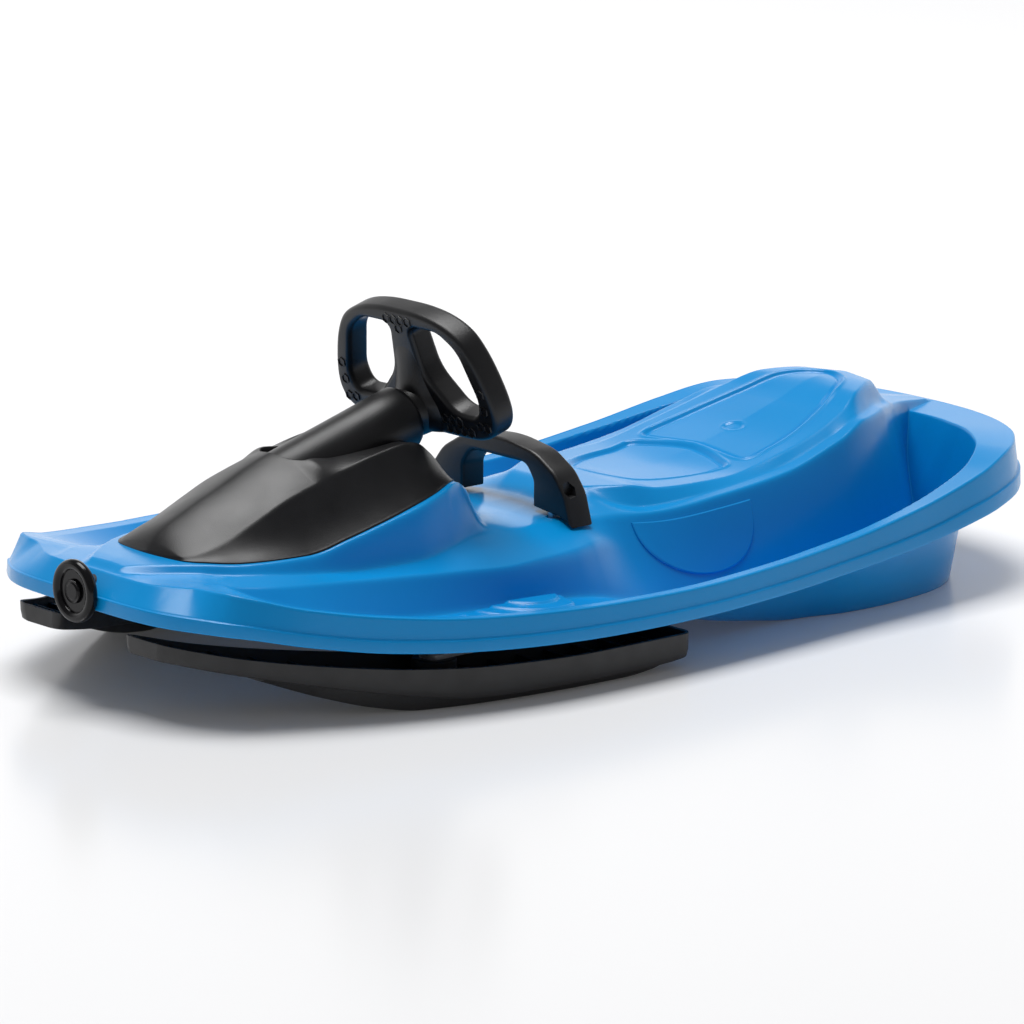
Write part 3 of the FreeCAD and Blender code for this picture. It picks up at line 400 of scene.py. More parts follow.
def outer_z(n, ys):
    """Rim top and the wall that falls from it into the wells; n is the distance in from the rim."""
    zg = RIM_Z(ys) + RIM_H(ys)
    nf, ne = NF(ys), NE(ys)
    fl = FLOOR_Z(ys)
    m = n - (CREST(ys) - 7.0)
    t = (m - nf) / (ne - nf)
    lip = 1.2 + 1.3 * (1 - sstep(-560, -480, ys))
    return zg - lip * np.clip(m / nf, 0, 1) - np.maximum(t, 0) * np.maximum(zg - fl, 0.5)


# pads pressed into the seat (closed outlines, half of each, x then y)
PAD_F = [(0, 84), (16, 85.5), (31, 91), (49, 104), (61, 125), (68, 151), (71, 178), (73.5, 196), (74.5, 207), (70, 212.5), (56, 218), (32, 225.5), (0, 230)]
PAD_R = [(0, 238), (29, 235), (55, 231.5), (70, 230.5), (78, 234), (81, 244), (79.5, 262), (77.5, 285), (73, 312), (64, 346), (53, 378), (41, 404), (25, 424), (0, 433)]


def outline_distance(P, x, y):
    """Signed distance in plan to a mirrored closed outline, negative inside."""
    H = spline(P, 90)
    C = np.concatenate([H, (H * [-1, 1])[-2:0:-1]])
    d = np.full(np.shape(x), 1e9)
    ins = np.zeros(np.shape(x), bool)
    m = len(C)
    for i in range(m):
        a, b = C[i], C[(i + 1) % m]
        e = b - a
        L2 = max(float(e @ e), 1e-9)
        t = np.clip(((x - a[0]) * e[0] + (y - a[1]) * e[1]) / L2, 0, 1)
        d = np.minimum(d, np.hypot(x - a[0] - t * e[0], y - a[1] - t * e[1]))
        cond = ((a[1] > y) != (b[1] > y))
        if b[1] != a[1]:
            xi = a[0] + (y - a[1]) / (b[1] - a[1]) * e[0]
            ins ^= cond & (x < xi)
    return np.where(ins, -d, d)


def pad_relief(x, y):
    out = np.zeros(np.shape(x))
    sel = (np.abs(x) < 115) & (y > 50) & (y < 460)
    if sel.any():
        xs, ys = x[sel], y[sel]
        r = np.zeros(xs.shape)
        for P in (PAD_F, PAD_R):
            d = outline_distance(P, xs, ys)
            # sunk panel with a sharp wall, a groove inside it and a low bead round it
            r = r - 2.0 * (1 - sstep(-1.4, 1.2, d)) - 1.5 * np.exp(-((d + 3.4) / 1.7) ** 2) + 1.1 * np.exp(-((d - 3.0) / 2.0) ** 2)
        # shallow oval dimple in the rear pad
        q = np.hypot(xs / 13.0, (ys - 290) / 9.0)
        r = r - 1.5 * (1 - sstep(0.75, 1.0, q)) + 0.4 * np.exp(-((q - 1.15) / 0.10) ** 2)
        out[sel] = r
    return out


def tread_relief(x, y):
    """Stepped arcs on the front footrest."""
    ax = np.abs(x)
    d = np.hypot(ax - 160, y + 145)
    out = np.zeros(np.shape(x))
    for rad in (34, 53, 72, 91):
        out = out + 2.3 * (1 - sstep(-1.0, 1.0, d - rad))
    # the raised part ends at a slanting edge behind and fades into the walls
    e = (y + 112) + 0.35 * (ax - 190)
    fade = sstep(160, 172, ax) * (1 - sstep(-1.2, 1.2, e)) * (1 - sstep(226, 236, ax))
    return out * fade


def surface(x, y, n, ys):
    k = 3.0 + 4.0 * sstep(-505, -420, y)
    z = smax(seat_z(x, y), FLOOR_Z(y) + 0 * n, k)
    z = smax(z, outer_z(n, ys), k)
    # never above the rim right at the rim
    zg = RIM_Z(ys) + RIM_H(ys)
    m = n - (CREST(ys) - 7.0)
    w = 1 - sstep(7, 22, m)
    z = z * (1 - w) + np.minimum(z, zg) * w
    return z + pad_relief(x, y) + tread_relief(x, y)


NS, NR = ((960, 220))


def build_hull():
    R = spline(OUTLINE, NS)
    # outward normals of the outline in plan
    T = np.gradient(R, axis=0)
    T /= np.linalg.norm(T, axis=1)[:, None]
    Nn = np.stack([-T[:, 1] * -1, T[:, 0] * -1], 1)       # (ty, -tx): outward for a curve running nose to stern on +x
    ci = CREST(R[:, 1])
    G = R - Nn * ci[:, None]                               # rim crest line
    sy = R[:, 1].copy()
    lo, hi, soft = -430.0, 400.0, 60.0
    sy = np.where(sy < lo, lo - soft * np.tanh((lo - sy) / (2.2 * soft)), sy)
    sy = np.where(sy > hi, hi + soft * np.tanh((sy - hi) / (2.2 * soft)), sy)
    f = np.linspace(0, 1, NR)
    f = f - 0.10 * np.sin(2 * math.pi * f) / (2 * math.pi)
    X = np.outer(G[:, 0], f)
    Y = sy[:, None] + (G[:, 1] - sy)[:, None] * f[None, :]
    YS = np.repeat(R[:, 1][:, None], NR, 1)
    GX, GY = np.repeat(G[:, :1], NR, 1), np.repeat(G[:, 1:], NR, 1)
    NX, NY = np.repeat(Nn[:, :1], NR, 1), np.repeat(Nn[:, 1:], NR, 1)
    DN = np.abs((GX - X) * NX + (GY - Y) * NY) + np.repeat(ci[:, None], NR, 1)
    Z = surface(X, Y, DN, YS)
    zg = RIM_Z(R[:, 1]) + RIM_H(R[:, 1])
    Z[:, -1] = zg
    Z[0] = Z[1] * 0 + Z[0]
    zb = RIM_Z(R[:, 1])
    # skirt rings: (inset from the outline, height above the lower edge as share h or absolute)
    hb = BAND(R[:, 1])
    V = [np.stack([X, Y, Z], -1)]
    sk = []

    def skirt(ins, z):
        P = R - Nn * np.asarray(ins + 0 * zb)[:, None]
        sk.append(np.stack([P[:, 0], P[:, 1], z], -1))

    top_in, top_z, low_in, low_z = ci - 1.6, zg - 1.3, 3.3, zb + hb + 0.8
    for q in (0.0, 0.08, 0.3, 0.55, 0.8, 0.95, 1.0):
        skirt(top_in + (low_in - top_in) * q, top_z + (low_z - top_z) * q)
    for ins, dz in ((2.9, 0.25), (2.3, 0.0), (1.3, -0.1), (0.75, -0.55), (0.55, -1.4)):
        skirt(ins, zb + hb + dz)
    for ins, dz in ((0.25, 4.0), (0.0, 1.6), (0.25, 0.5), (0.9, 0.0), (2.2, 0.0), (2.9, 0.5), (3.4, 2.0)):
        skirt(ins, zb + dz)
    skirt(low_in + 3.2, low_z - 1.5)
    skirt(ci + 2.0, zg - 5.0)
    SK = np.stack(sk, 1)
    U = np.stack([X, Y, Z - 4.0], -1)
    U = U[:, :-2][:, ::-1]
    ALL = np.concatenate([V[0], SK, U], 1)                 # one closed strip per spoke: top, skirt, underside
    ns, nv = ALL.shape[:2]
    ALL[:, :, 0] = np.where(np.abs(ALL[:, :, 0]) < 1e-9, 0, ALL[:, :, 0])
    ALL[0, :, 0] = 0.0
    ALL[-1, :, 0] = 0.0
    # openings: under the hood, brake slots, guide hole is behind the knob
    verts = ALL.reshape(-1, 3)
    mverts = verts * np.array([-1, 1, 1])
    off = len(verts)
    ntop = NR

    def hole(cx, cy):
        a = np.abs(cx)
        if a < 49 and -429 < cy < -189:
            return True
        if 75.2 < a < 84.8 and -42 < cy < -3:
            return True
        return False

    cell = np.zeros((ns - 1, ntop - 1), bool)
    for i in range(ns - 1):
        for j in range(ntop - 1):
            cx = (X[i, j] + X[i + 1, j + 1]) * 0.5
            cy = (Y[i, j] + Y[i + 1, j + 1]) * 0.5
            cell[i, j] = hole(cx, cy)
    nsk = SK.shape[1]

    def under(j):            # strip index of the underside vertex below top ring j
        return ntop + nsk + (NR - 3 - j)

    faces = []
    for i in range(ns - 1):
        for j in range(nv - 1):
            if j < ntop - 1 and cell[i, j]:
                continue
            if j >= ntop + nsk:
                jj = NR - 3 - (j - ntop - nsk) - 1
                if 0 <= jj < ntop - 1 and cell[i, jj]:
                    continue
            a, b = i * nv + j, i * nv + j + 1
            c, d = (i + 1) * nv + j + 1, (i + 1) * nv + j
            faces.append((a, d, c, b))
    # walls of the openings between top and underside
    for i in range(ns - 1):
        for j in range(ntop - 3):
            if not cell[i, j]:
                continue
            for (di, dj, p, q) in ((-1, 0, (i, j), (i, j + 1)), (1, 0, (i + 1, j), (i + 1, j + 1)),
                                   (0, 1, (i, j + 1), (i + 1, j + 1)), (0, -1, (i, j), (i + 1, j))):
                i2, j2 = i + di, j + dj
                if j2 < 0 or not (0 <= i2 < ns - 1):
                    continue
                if not cell[i2, j2]:
                    faces.append((p[0] * nv + p[1], q[0] * nv + q[1], q[0] * nv + under(q[1]), p[0] * nv + under(p[1])))
    mf = [tuple(reversed([k + off for k in f])) for f in faces]
    allv = np.concatenate([verts, mverts])
    me_faces = faces + mf
    ob = mesh_object("shell", allv * MM, me_faces)
    import bmesh
    bm = bmesh.new()
    bm.from_mesh(ob.data)
    bmesh.ops.remove_doubles(bm, verts=bm.verts, dist=0.00004)
    bmesh.ops.dissolve_degenerate(bm, dist=0.00001, edges=bm.edges)
    bmesh.ops.recalc_face_normals(bm, faces=bm.faces)
    bm.to_mesh(ob.data)
    bm.free()
    ob.data.polygons.foreach_set("use_smooth", [True] * len(ob.data.polygons))
    return ob


hull = build_hull()
finish_piece(hull, "hull", "blue_plastic", ["hull_shell"])

# ------------------------------------------------------------------------- hood
COLA = math.radians(16.5)
AX = np.array([0, math.cos(COLA), math.sin(COLA)])
UP = np.array([0, -math.sin(COLA), math.cos(COLA)])
HUB = np.array([0, -134.0, 236.0])


def on_axis(t, v=0.0, u=0.0):
    return HUB + AX * t + UP * v + np.array([u, 0, 0])


H_XF = pchip([(-491, 8), (-490.6, 14), (-490, 20), (-488, 36), (-485, 50), (-478, 60.5), (-470, 67), (-450, 80.5), (-425, 91), (-400, 97),
              (-366, 101.5), (-346, 103), (-279, 102.5), (-230, 98), (-199, 92), (-178, 85), (-164, 76), (-158, 69), (-156, 64)])
H_XC = pchip([(-491, 6), (-488, 32), (-484, 46), (-470, 56), (-448, 60), (-419, 61), (-366, 62), (-308, 61), (-253, 60), (-210, 59),
              (-180, 55), (-164, 51), (-156, 46)])
H_ZC = pchip([(-491, 137.6), (-488, 138.4), (-484, 139.3), (-470, 142), (-448, 147.5), (-438, 150.5), (-419, 158.5), (-397, 168), (-366, 180.5),
              (-308, 196), (-253, 210), (-210, 216), (-195, 213), (-180, 203), (-164, 188), (-156, 178)])
H_ZT = pchip([(-491, 138.5), (-488, 143), (-484, 147.5), (-470, 158), (-448, 168.5), (-425, 178.5), (-400, 188.5), (-366, 203), (-342, 212),
              (-320, 218.5), (-280, 222), (-156, 186)])
H_ZV = pchip([(-491, 212), (-331, 212), (-310, 210), (-285, 207.5), (-255, 208.5), (-229, 210), (-205, 212), (-190, 208), (-178, 200), (-164, 186), (-156, 177)])


def hood_z(x, y):
    """Top of the hood: crowned panel, crease, side panel, and the hollow behind the panel that lets the tube out."""
    ax = np.abs(x)
    xf, xc, zc, zt, zv = H_XF(y), H_XC(y), H_ZC(y), H_ZT(y), H_ZV(y)
    zf = B_Z(y) + 1.0
    xc = np.minimum(xc, 0.93 * xf)
    crown = zt - (zt - zc) * np.clip(ax / xc, 0, 1) ** 1.5
    t = np.clip((ax - 33.0) / np.maximum(xc - 33.0, 4.0), 0, 1)
    valley = zv + (zc - zv) * t * t
    w = sstep(-332, -312, y)
    top = crown * (1 - w) + valley * w
    t2 = np.clip((ax - xc) / np.maximum(xf - xc, 1.0), 0, 1)
    side = zc - (zc - zf) * (t2 + 0.10 * np.sin(math.pi * t2))
    z = np.where(ax <= xc, top, side)
    yn = -336 + 15 * (np.clip(ax, 0, 33) / 32.0) ** 2
    z = z - 14.0 * sstep(-1.2, 1.2, y - yn) * (1 - sstep(30.5, 33.5, ax))
    return z


def build_hood():
    ys = np.concatenate([[-491, -490.85, -490.6, -490.3], np.linspace(-490, -478, 18), np.linspace(-476, -340, 72), np.linspace(-338.5, -306, 44),
                         np.linspace(-304, -182, 60), np.linspace(-180, -156, 22)])
    g = np.linspace(0, 1, 90)
    g = np.unique(np.concatenate([g, np.linspace(0.27, 0.36, 14), np.linspace(0.52, 0.68, 16)]))
    U = np.concatenate([-g[:0:-1], g])
    xf = H_XF(ys)
    X = xf[:, None] * U[None, :]
    Y = np.repeat(ys[:, None], len(U), 1)
    Z = 0.0
    for k in np.linspace(-1, 1, 7):
        Z = Z + hood_z(np.clip(np.abs(X) + k * 1.7, 0, xf[:, None]), Y)
    Z = Z / 7.0
    zf = B_Z(ys) + 1.0
    O = np.stack([X, Y, Z], -1)
    # foot: a small turn-under at each side
    def foot(dx, dz):
        L = np.stack([-(xf + dx), ys, zf + dz], -1)[:, None]
        Rr = np.stack([xf + dx, ys, zf + dz], -1)[:, None]
        return L, Rr
    l1, r1 = foot(0.3, -0.9)
    l2, r2 = foot(0.0, -1.6)
    O = np.concatenate([l2, l1, O, r1, r2], 1)
    I = O.copy()
    k = 1 - 3.0 / np.maximum(xf, 6.0)
    I[:, :, 0] *= k[:, None]
    I[:, :, 2] = np.maximum(O[:, :, 2] - 3.0, (zf - 1.6)[:, None])
    nu, nv = O.shape[:2]
    verts = np.concatenate([O.reshape(-1, 3), I.reshape(-1, 3)]) * MM
    base = nu * nv
    faces = grid_faces(nu, nv) + grid_faces(nu, nv, base, flip=True)
    for i in range(nu - 1):
        faces.append((i * nv, (i + 1) * nv, base + (i + 1) * nv, base + i * nv))
        faces.append((i * nv + nv - 1, base + i * nv + nv - 1, base + (i + 1) * nv + nv - 1, (i + 1) * nv + nv - 1))
    for j in range(nv - 1):
        faces.append((j, base + j, base + j + 1, j + 1))
        e = (nu - 1) * nv
        faces.append((e + j, e + j + 1, base + e + j + 1, base + e + j))
    ob = mesh_object("hood_skin", verts, faces)
    fix_normals(ob)
    ob.data.polygons.foreach_set("use_smooth", [True] * len(ob.data.polygons))
    sharp_by_angle(ob.data, 50)
    tube = lathe("hood_tube", [(24.6, -215), (33.4, -215), (33.4, -60), (33.4, -40), (33.0, -37), (31.6, -34.6), (29.6, -33.4), (28, -33), (25.6, -33), (24.8, -33.6), (24.6, -35), (24.6, -215)],
                 HUB, AX, 128, smooth=True, angle=40)
    return joined("hood_cover", [ob, tube])


hood = build_hood()
finish_piece(hood, "hull", "black_textured", ["hood"])


# ----------------------------------------------------------------- steering wheel
def rounded(poly, radii, seg=8):
    out = []
    n = len(poly)
    for i in range(n):
        p0, p1, p2 = [np.array(poly[k % n], float) for k in (i - 1, i, i + 1)]
        r = radii[i] if isinstance(radii, (list, tuple)) else radii
        a, b = p0 - p1, p2 - p1
        la, lb = np.linalg.norm(a), np.linalg.norm(b)
        a, b = a / la, b / lb
        ang = math.acos(max(-1, min(1, float(a @ b))))
        if r <= 0 or ang > 3.1:
            out.append(tuple(p1)); continue
        d = min(r / math.tan(ang / 2), 0.48 * la, 0.48 * lb)
        r2 = d * math.tan(ang / 2)
        bis = (a + b) / np.linalg.norm(a + b)
        c = p1 + bis * (r2 / math.sin(ang / 2))
        s, e = p1 + a * d - c, p1 + b * d - c
        tot = math.acos(max(-1, min(1, float(s @ e) / (np.linalg.norm(s) * np.linalg.norm(e)))))
        sg = 1.0 if s[0] * e[1] - s[1] * e[0] > 0 else -1.0
        for k in range(seg + 1):
            q = sg * tot * k / seg
            out.append((c[0] + s[0] * math.cos(q) - s[1] * math.sin(q), c[1] + s[0] * math.sin(q) + s[1] * math.cos(q)))
    return out


def slab(name, loops, depth, bev, place, res=4):
    """Flat plate with holes and rounded edges; loops in millimetres, place maps (u, v, w) to the frame."""
    cu = bpy.data.curves.new(name, "CURVE")
    cu.dimensions = "2D"
    cu.fill_mode = "BOTH"
    for lp in loops:
        sp = cu.splines.new("POLY")
        sp.points.add(len(lp) - 1)
        for k, (u, v) in enumerate(lp):
            sp.points[k].co = (u * MM, v * MM, 0, 1)
        sp.use_cyclic_u = True
    cu.extrude = (depth / 2 - bev) * MM
    cu.bevel_depth = bev * MM
    cu.bevel_resolution = res
    cu.offset = -bev * MM
    tmp = bpy.data.objects.new(name, cu)
    bpy.context.scene.collection.objects.link(tmp)
    dg = bpy.context.evaluated_depsgraph_get()
    me = bpy.data.meshes.new_from_object(tmp.evaluated_get(dg))
    bpy.data.objects.remove(tmp)
    ob = bpy.data.objects.new(name, me)
    bpy.context.scene.collection.objects.link(ob)
    for v in me.vertices:
        v.co = Vector(place(v.co.x / MM, v.co.y / MM, v.co.z / MM)) * MM
    import bmesh
    bm = bmesh.new()
    bm.from_mesh(me)
    bmesh.ops.remove_doubles(bm, verts=bm.verts, dist=0.00002)
    bmesh.ops.recalc_face_normals(bm, faces=bm.faces)
    bm.to_mesh(me)
    bm.free()
    me.polygons.foreach_set("use_smooth", [True] * len(me.polygons))
    sharp_by_angle(me, 32)
    return ob


def closed_curve(P, per=10):
    """Closed smooth curve through the points."""
    P = np.array(P, float)
    n = len(P)
    out = []
    for k in range(n):
        p0, p1, p2, p3 = P[k - 1], P[k], P[(k + 1) % n], P[(k + 2) % n]
        for t in np.arange(per) / per:
            out.append(tuple(0.5 * (2 * p1 + (p2 - p0) * t + (2 * p0 - 5 * p1 + 4 * p2 - p3) * t ** 2 + (3 * p1 - p0 - 3 * p2 + p3) * t ** 3)))
    return out


W_HALF = [(0, 108.5), (32, 107.5), (62, 102), (86, 90), (101, 71), (112, 46), (119, 19), (118, 0), (108, -14), (88, -21.5), (60, -23), (30, -23)]
W_OUT = closed_curve(W_HALF + [(0, -23)] + [(-u, v) for u, v in W_HALF[:0:-1]], 8)
W_WIN = [rounded([(s * 15, 91), (s * 57, 91), (s * 81, 75), (s * 98, 24), (s * 93, 4), (s * 58, 5), (s * 23, 40)], [9, 30, 34, 26, 15, 30, 44], 8) for s in (-1, 1)]


def on_wheel(u, v, w):
    return tuple(HUB + UP * v + AX * w + np.array([u, 0, 0]))


def in_poly(poly, p):
    ins = False
    n = len(poly)
    for i in range(n):
        a, b = poly[i], poly[(i + 1) % n]
        if (a[1] > p[1]) != (b[1] > p[1]) and p[0] < (b[0] - a[0]) * (p[1] - a[1]) / (b[1] - a[1]) + a[0]:
            ins = not ins
    return ins


def edge_gap(poly, p):
    best = 1e9
    n = len(poly)
    p = np.array(p)
    for i in range(n):
        a, b = np.array(poly[i]), np.array(poly[(i + 1) % n])
        e = b - a
        t = np.clip(((p - a) @ e) / max(e @ e, 1e-9), 0, 1)
        best = min(best, float(np.linalg.norm(p - a - t * e)))
    return best


def honeycomb(face_w, out):
    """Thin raised hexagon net on the ring's flat face."""
    V, F = [], []
    pitch = 10.6
    rr = pitch / math.sqrt(3)
    for iy in range(-6, 22):
        for ix in range(-17, 18):
            cx = ix * pitch + (iy % 2) * pitch / 2
            cy = iy * pitch * math.sqrt(3) / 2 - 4
            if abs(cx) < 40 and cy < 96 and cy > -60 and not (abs(cx) < 14 and cy > 84):
                continue
            if not in_poly(W_OUT, (cx, cy)) or any(in_poly(w, (cx, cy)) for w in W_WIN):
                continue
            if min(edge_gap(W_OUT, (cx, cy)), *[edge_gap(w, (cx, cy)) for w in W_WIN]) < 8.6:
                continue
            base = len(V)
            for k in range(6):
                a = math.pi / 6 + k * math.pi / 3
                for r, h in ((rr - 0.1, 0.0), (rr - 0.55, 1.25), (rr - 1.45, 1.25), (rr - 1.9, 0.0)):
                    V.append(on_wheel(cx + r * math.cos(a), cy + r * math.sin(a), face_w + out * (h - 0.15)))
            for k in range(6):
                k2 = (k + 1) % 6
                for q in range(3):
                    F.append((base + 4 * k + q, base + 4 * k2 + q, base + 4 * k2 + q + 1, base + 4 * k + q + 1))
    ob = mesh_object("honeycomb", np.array(V) * MM, F, smooth=False)
    return ob


def spoke_boss():
    """Boss that swells from the spoke and the lower bar into the neck."""
    vs, us = np.linspace(-21, 74, 64), np.linspace(-1, 1, 41)
    half = pchip([(-21, 34), (-6, 37), (6, 35), (20, 28), (40, 21), (60, 17), (74, 15)])
    rise = pchip([(-21, 6), (-14, 13), (-2, 17), (8, 17), (24, 12), (44, 6), (62, 2.2), (74, 0)])
    P = []
    for v in vs:
        for q in us:
            P.append(on_wheel(float(half(v)) * q, v, -13.0 - float(rise(v)) * (1 - abs(q) ** 2.2)))
    nu, nv = len(vs), len(us)
    for v in vs:
        for q in us:
            P.append(on_wheel(float(half(v)) * q, v, -9.0))
    base = nu * nv
    F = grid_faces(nu, nv) + grid_faces(nu, nv, base, flip=True)
    for i in range(nu - 1):
        F.append((i * nv, (i + 1) * nv, base + (i + 1) * nv, base + i * nv))
        F.append((i * nv + nv - 1, base + i * nv + nv - 1, base + (i + 1) * nv + nv - 1, (i + 1) * nv + nv - 1))
    e = (nu - 1) * nv
    for j in range(nv - 1):
        F.append((j, base + j, base + j + 1, j + 1))
        F.append((e + j, e + j + 1, base + e + j + 1, base + e + j))
    ob = mesh_object("boss", np.array(P) * MM, F, angle=40)
    fix_normals(ob)
    return ob


ring = slab("wheel_ring", [W_OUT] + W_WIN, 28, 5.5, on_wheel, 6)
neck = lathe("wheel_neck", [(10.2, -32), (21.5, -32), (22.6, -31.2), (24.5, -26), (27, -20), (28, -10), (28, 8), (10.2, 8)], HUB, AX, 96, smooth=True, angle=40)
comb = honeycomb(-14, -1)
wheel = joined("wheel", [ring, neck, spoke_boss(), comb])
finish_piece(wheel, "steering", "black_satin", ["steering_wheel"])

# ------------------------------------------------------------------ brake handle
H_OUT = [(-112, 112.5), (-102, 144), (-86, 164), (-56, 181), (0, 190), (56, 181), (86, 164), (102, 144), (112, 112.5), (98, 120),
         (54, 125), (54, 152), (42, 168), (-42, 168), (-54, 152), (-54, 125), (-98, 120)]
handle = slab("handle", [rounded(H_OUT, [0, 30, 40, 60, 200, 60, 40, 30, 0, 0, 0, 12, 16, 16, 12, 0, 0], 8)], 31, 3.5,
              lambda u, v, w: (u, -24.5 - w, v), 4)
for s in (-1, 1):
    # bolt recess in each leg: a hexagonal pocket down to the bolt head
    sec = [[(s * x * MM, (-30 + 8.2 * math.cos(a)) * MM, (148 + 8.2 * math.sin(a)) * MM) for a in np.arange(6) * math.pi / 3 + 0.2] for x in (92.4, 116)]
    tool = loft_closed("pocket", sec, smooth=False)
    md = handle.modifiers.new("pocket", "BOOLEAN")
    md.operation, md.solver, md.object = "DIFFERENCE", "EXACT", tool
    dg = bpy.context.evaluated_depsgraph_get()
    me2 = bpy.data.meshes.new_from_object(handle.evaluated_get(dg))
    handle.modifiers.clear()
    handle.data = me2
    bpy.data.objects.remove(tool)
sharp_by_angle(handle.data, 32)
finish_piece(handle, "brake", "black_satin", ["brake_handle"])

# ------------------------------------------------------------------------- skis
SKI_OUT = pchip([(-560, 119), (-540, 134), (-495, 163), (-431, 205), (-353, 243), (-272, 266), (-154, 279), (-28, 282)])
SKI_IN = pchip([(-560, 45), (-540, 56), (-495, 80), (-431, 115), (-353, 149), (-272, 171), (-154, 186), (-28, 192)])
SKI_TOP = pchip([(-560, 77), (-495, 62), (-431, 53), (-353, 45), (-272, 40), (-154, 37), (-28, 37)])
SKI_BOT = pchip([(-560, 60), (-500, 45), (-431, 31), (-353, 17), (-300, 10), (-250, 8), (-110, 8), (-60, 9), (-28, 12)])
RUN_BOT = pchip([(-480, 38), (-431, 20), (-380, 6), (-337, 0), (-110, 0), (-70, 3), (-50, 8)])

for side, tag in ((1, "left"), (-1, "right")):
    secs = []
    for y in np.concatenate([[-560, -559.6, -558.6, -557, -555.2, -554.6, -551, -546], np.linspace(-540, -40, 70), [-37, -34, -33.4, -32.8, -30, -28.6, -28]]):
        xo, xi, zt, zb = [float(f(y)) for f in (SKI_OUT, SKI_IN, SKI_TOP, SKI_BOT)]
        w = 4.0
        e = max(0.0, (-542 - y) / 18.0, (y + 40) / 12.0)
        cut = 15.0 * (1 - math.sqrt(max(0.0, 1 - min(e, 1.0) ** 2)))
        xo, xi = xo - cut, xi + cut
        if y < -554.9 or y > -33.1:
            zi, za = zt - 0.2, zt - 0.2
        else:
            zi, za = zb + w, zb + w
        pts = [(xo, zt), (xo - 0.6, zb + 8), (xo - 3, zb + 1), (xo - 8, zb), (xi + 8, zb), (xi + 3, zb + 1), (xi + 0.6, zb + 8), (xi, zt),
               (xi + w, zt), (xi + 3 + w, zi), (xo - 3 - w, za), (xo - w, zt)]
        secs.append([(side * x * MM, y * MM, z * MM) for x, z in pts])
    tray = loft_closed("ski_" + tag + "_tray", secs, angle=38)
    bits = [tray]
    for ry in np.arange(-520, -40, 34):
        if abs(ry + 300) < 30:
            continue
        xo, xi, zb = float(SKI_OUT(ry)), float(SKI_IN(ry)), float(SKI_BOT(ry))
        h = 13
        sec = []
        for yy in (ry - 1.3, ry + 1.3):
            sec.append([(side * x * MM, yy * MM, z * MM) for x, z in [(xi + 4, zb + 2), (xo - 4, zb + 2), (xo - 4, zb + h), (xi + 4, zb + h)]])
        bits.append(loft_closed("rib", sec, smooth=False))
    hub = lathe("hub", [(6.05, 16), (6.05, 42), (20.5, 42), (22, 40.5), (22, 12), (12.5, 12), (12.5, 16), (6.05, 16)], (side * 205, -300, 0), (0, 0, 1), 64, angle=40)
    bits.append(hub)
    ski = joined("ski_%s_body" % tag, bits)
    bevel(ski, 0.0009, 2, 40)
    finish_piece(ski, "ski_" + tag, "ski_plastic", ["ski_" + tag])
    secs = []
    for y in np.concatenate([np.linspace(-480, -337, 26), np.linspace(-330, -110, 24), np.linspace(-104, -50, 10)]):
        xm = float(SKI_OUT(y) + SKI_IN(y)) / 2 + 6
        zt = float(SKI_BOT(y)) - 0.02
        zb = min(float(RUN_BOT(y)), zt - 0.8)
        w = 29
        secs.append([(side * x * MM, y * MM, z * MM) for x, z in
                     [(xm - w, zt), (xm - w + 3.2, zb + min(1.2, (zt - zb) * 0.4)), (xm - w + 5, zb), (xm + w - 5, zb), (xm + w - 3.2, zb + min(1.2, (zt - zb) * 0.4)), (xm + w, zt)]])
    run = loft_closed("runner_" + tag, secs, angle=30)
    finish_piece(run, "ski_" + tag, "ski_plastic", ["ski_runner_" + tag])

# ------------------------------------------------------------------------- knob
knob = lathe("knob", [(0, 5), (20.3, 5), (20.6, 4.2), (21.5, 2.2), (24, 1.0), (27.5, 0.6), (29.6, 1.8), (30.8, 4.2), (31, 6.5), (30.4, 9.4), (28.5, 11.4),
                      (26, 12), (8.2, 12), (8.0, 12.3), (8.0, 48.5), (0, 48.5)], (0, -584, 112), (0, 1, 0), 112, angle=50)
finish_piece(knob, "knob", "black_gloss", ["tow_knob"])
cap = lathe("knob_centre", [(0, 1.6), (7.5, 1.6), (8.6, 1.9), (9.2, 2.6), (10.4, 2.7), (11.4, 2.0), (12.0, 2.9), (12.0, 4.2), (0, 4.2)], (0, -584, 112), (0, 1, 0), 72, angle=40)
finish_piece(cap, "knob", "black_gloss", ["knob_cap"])

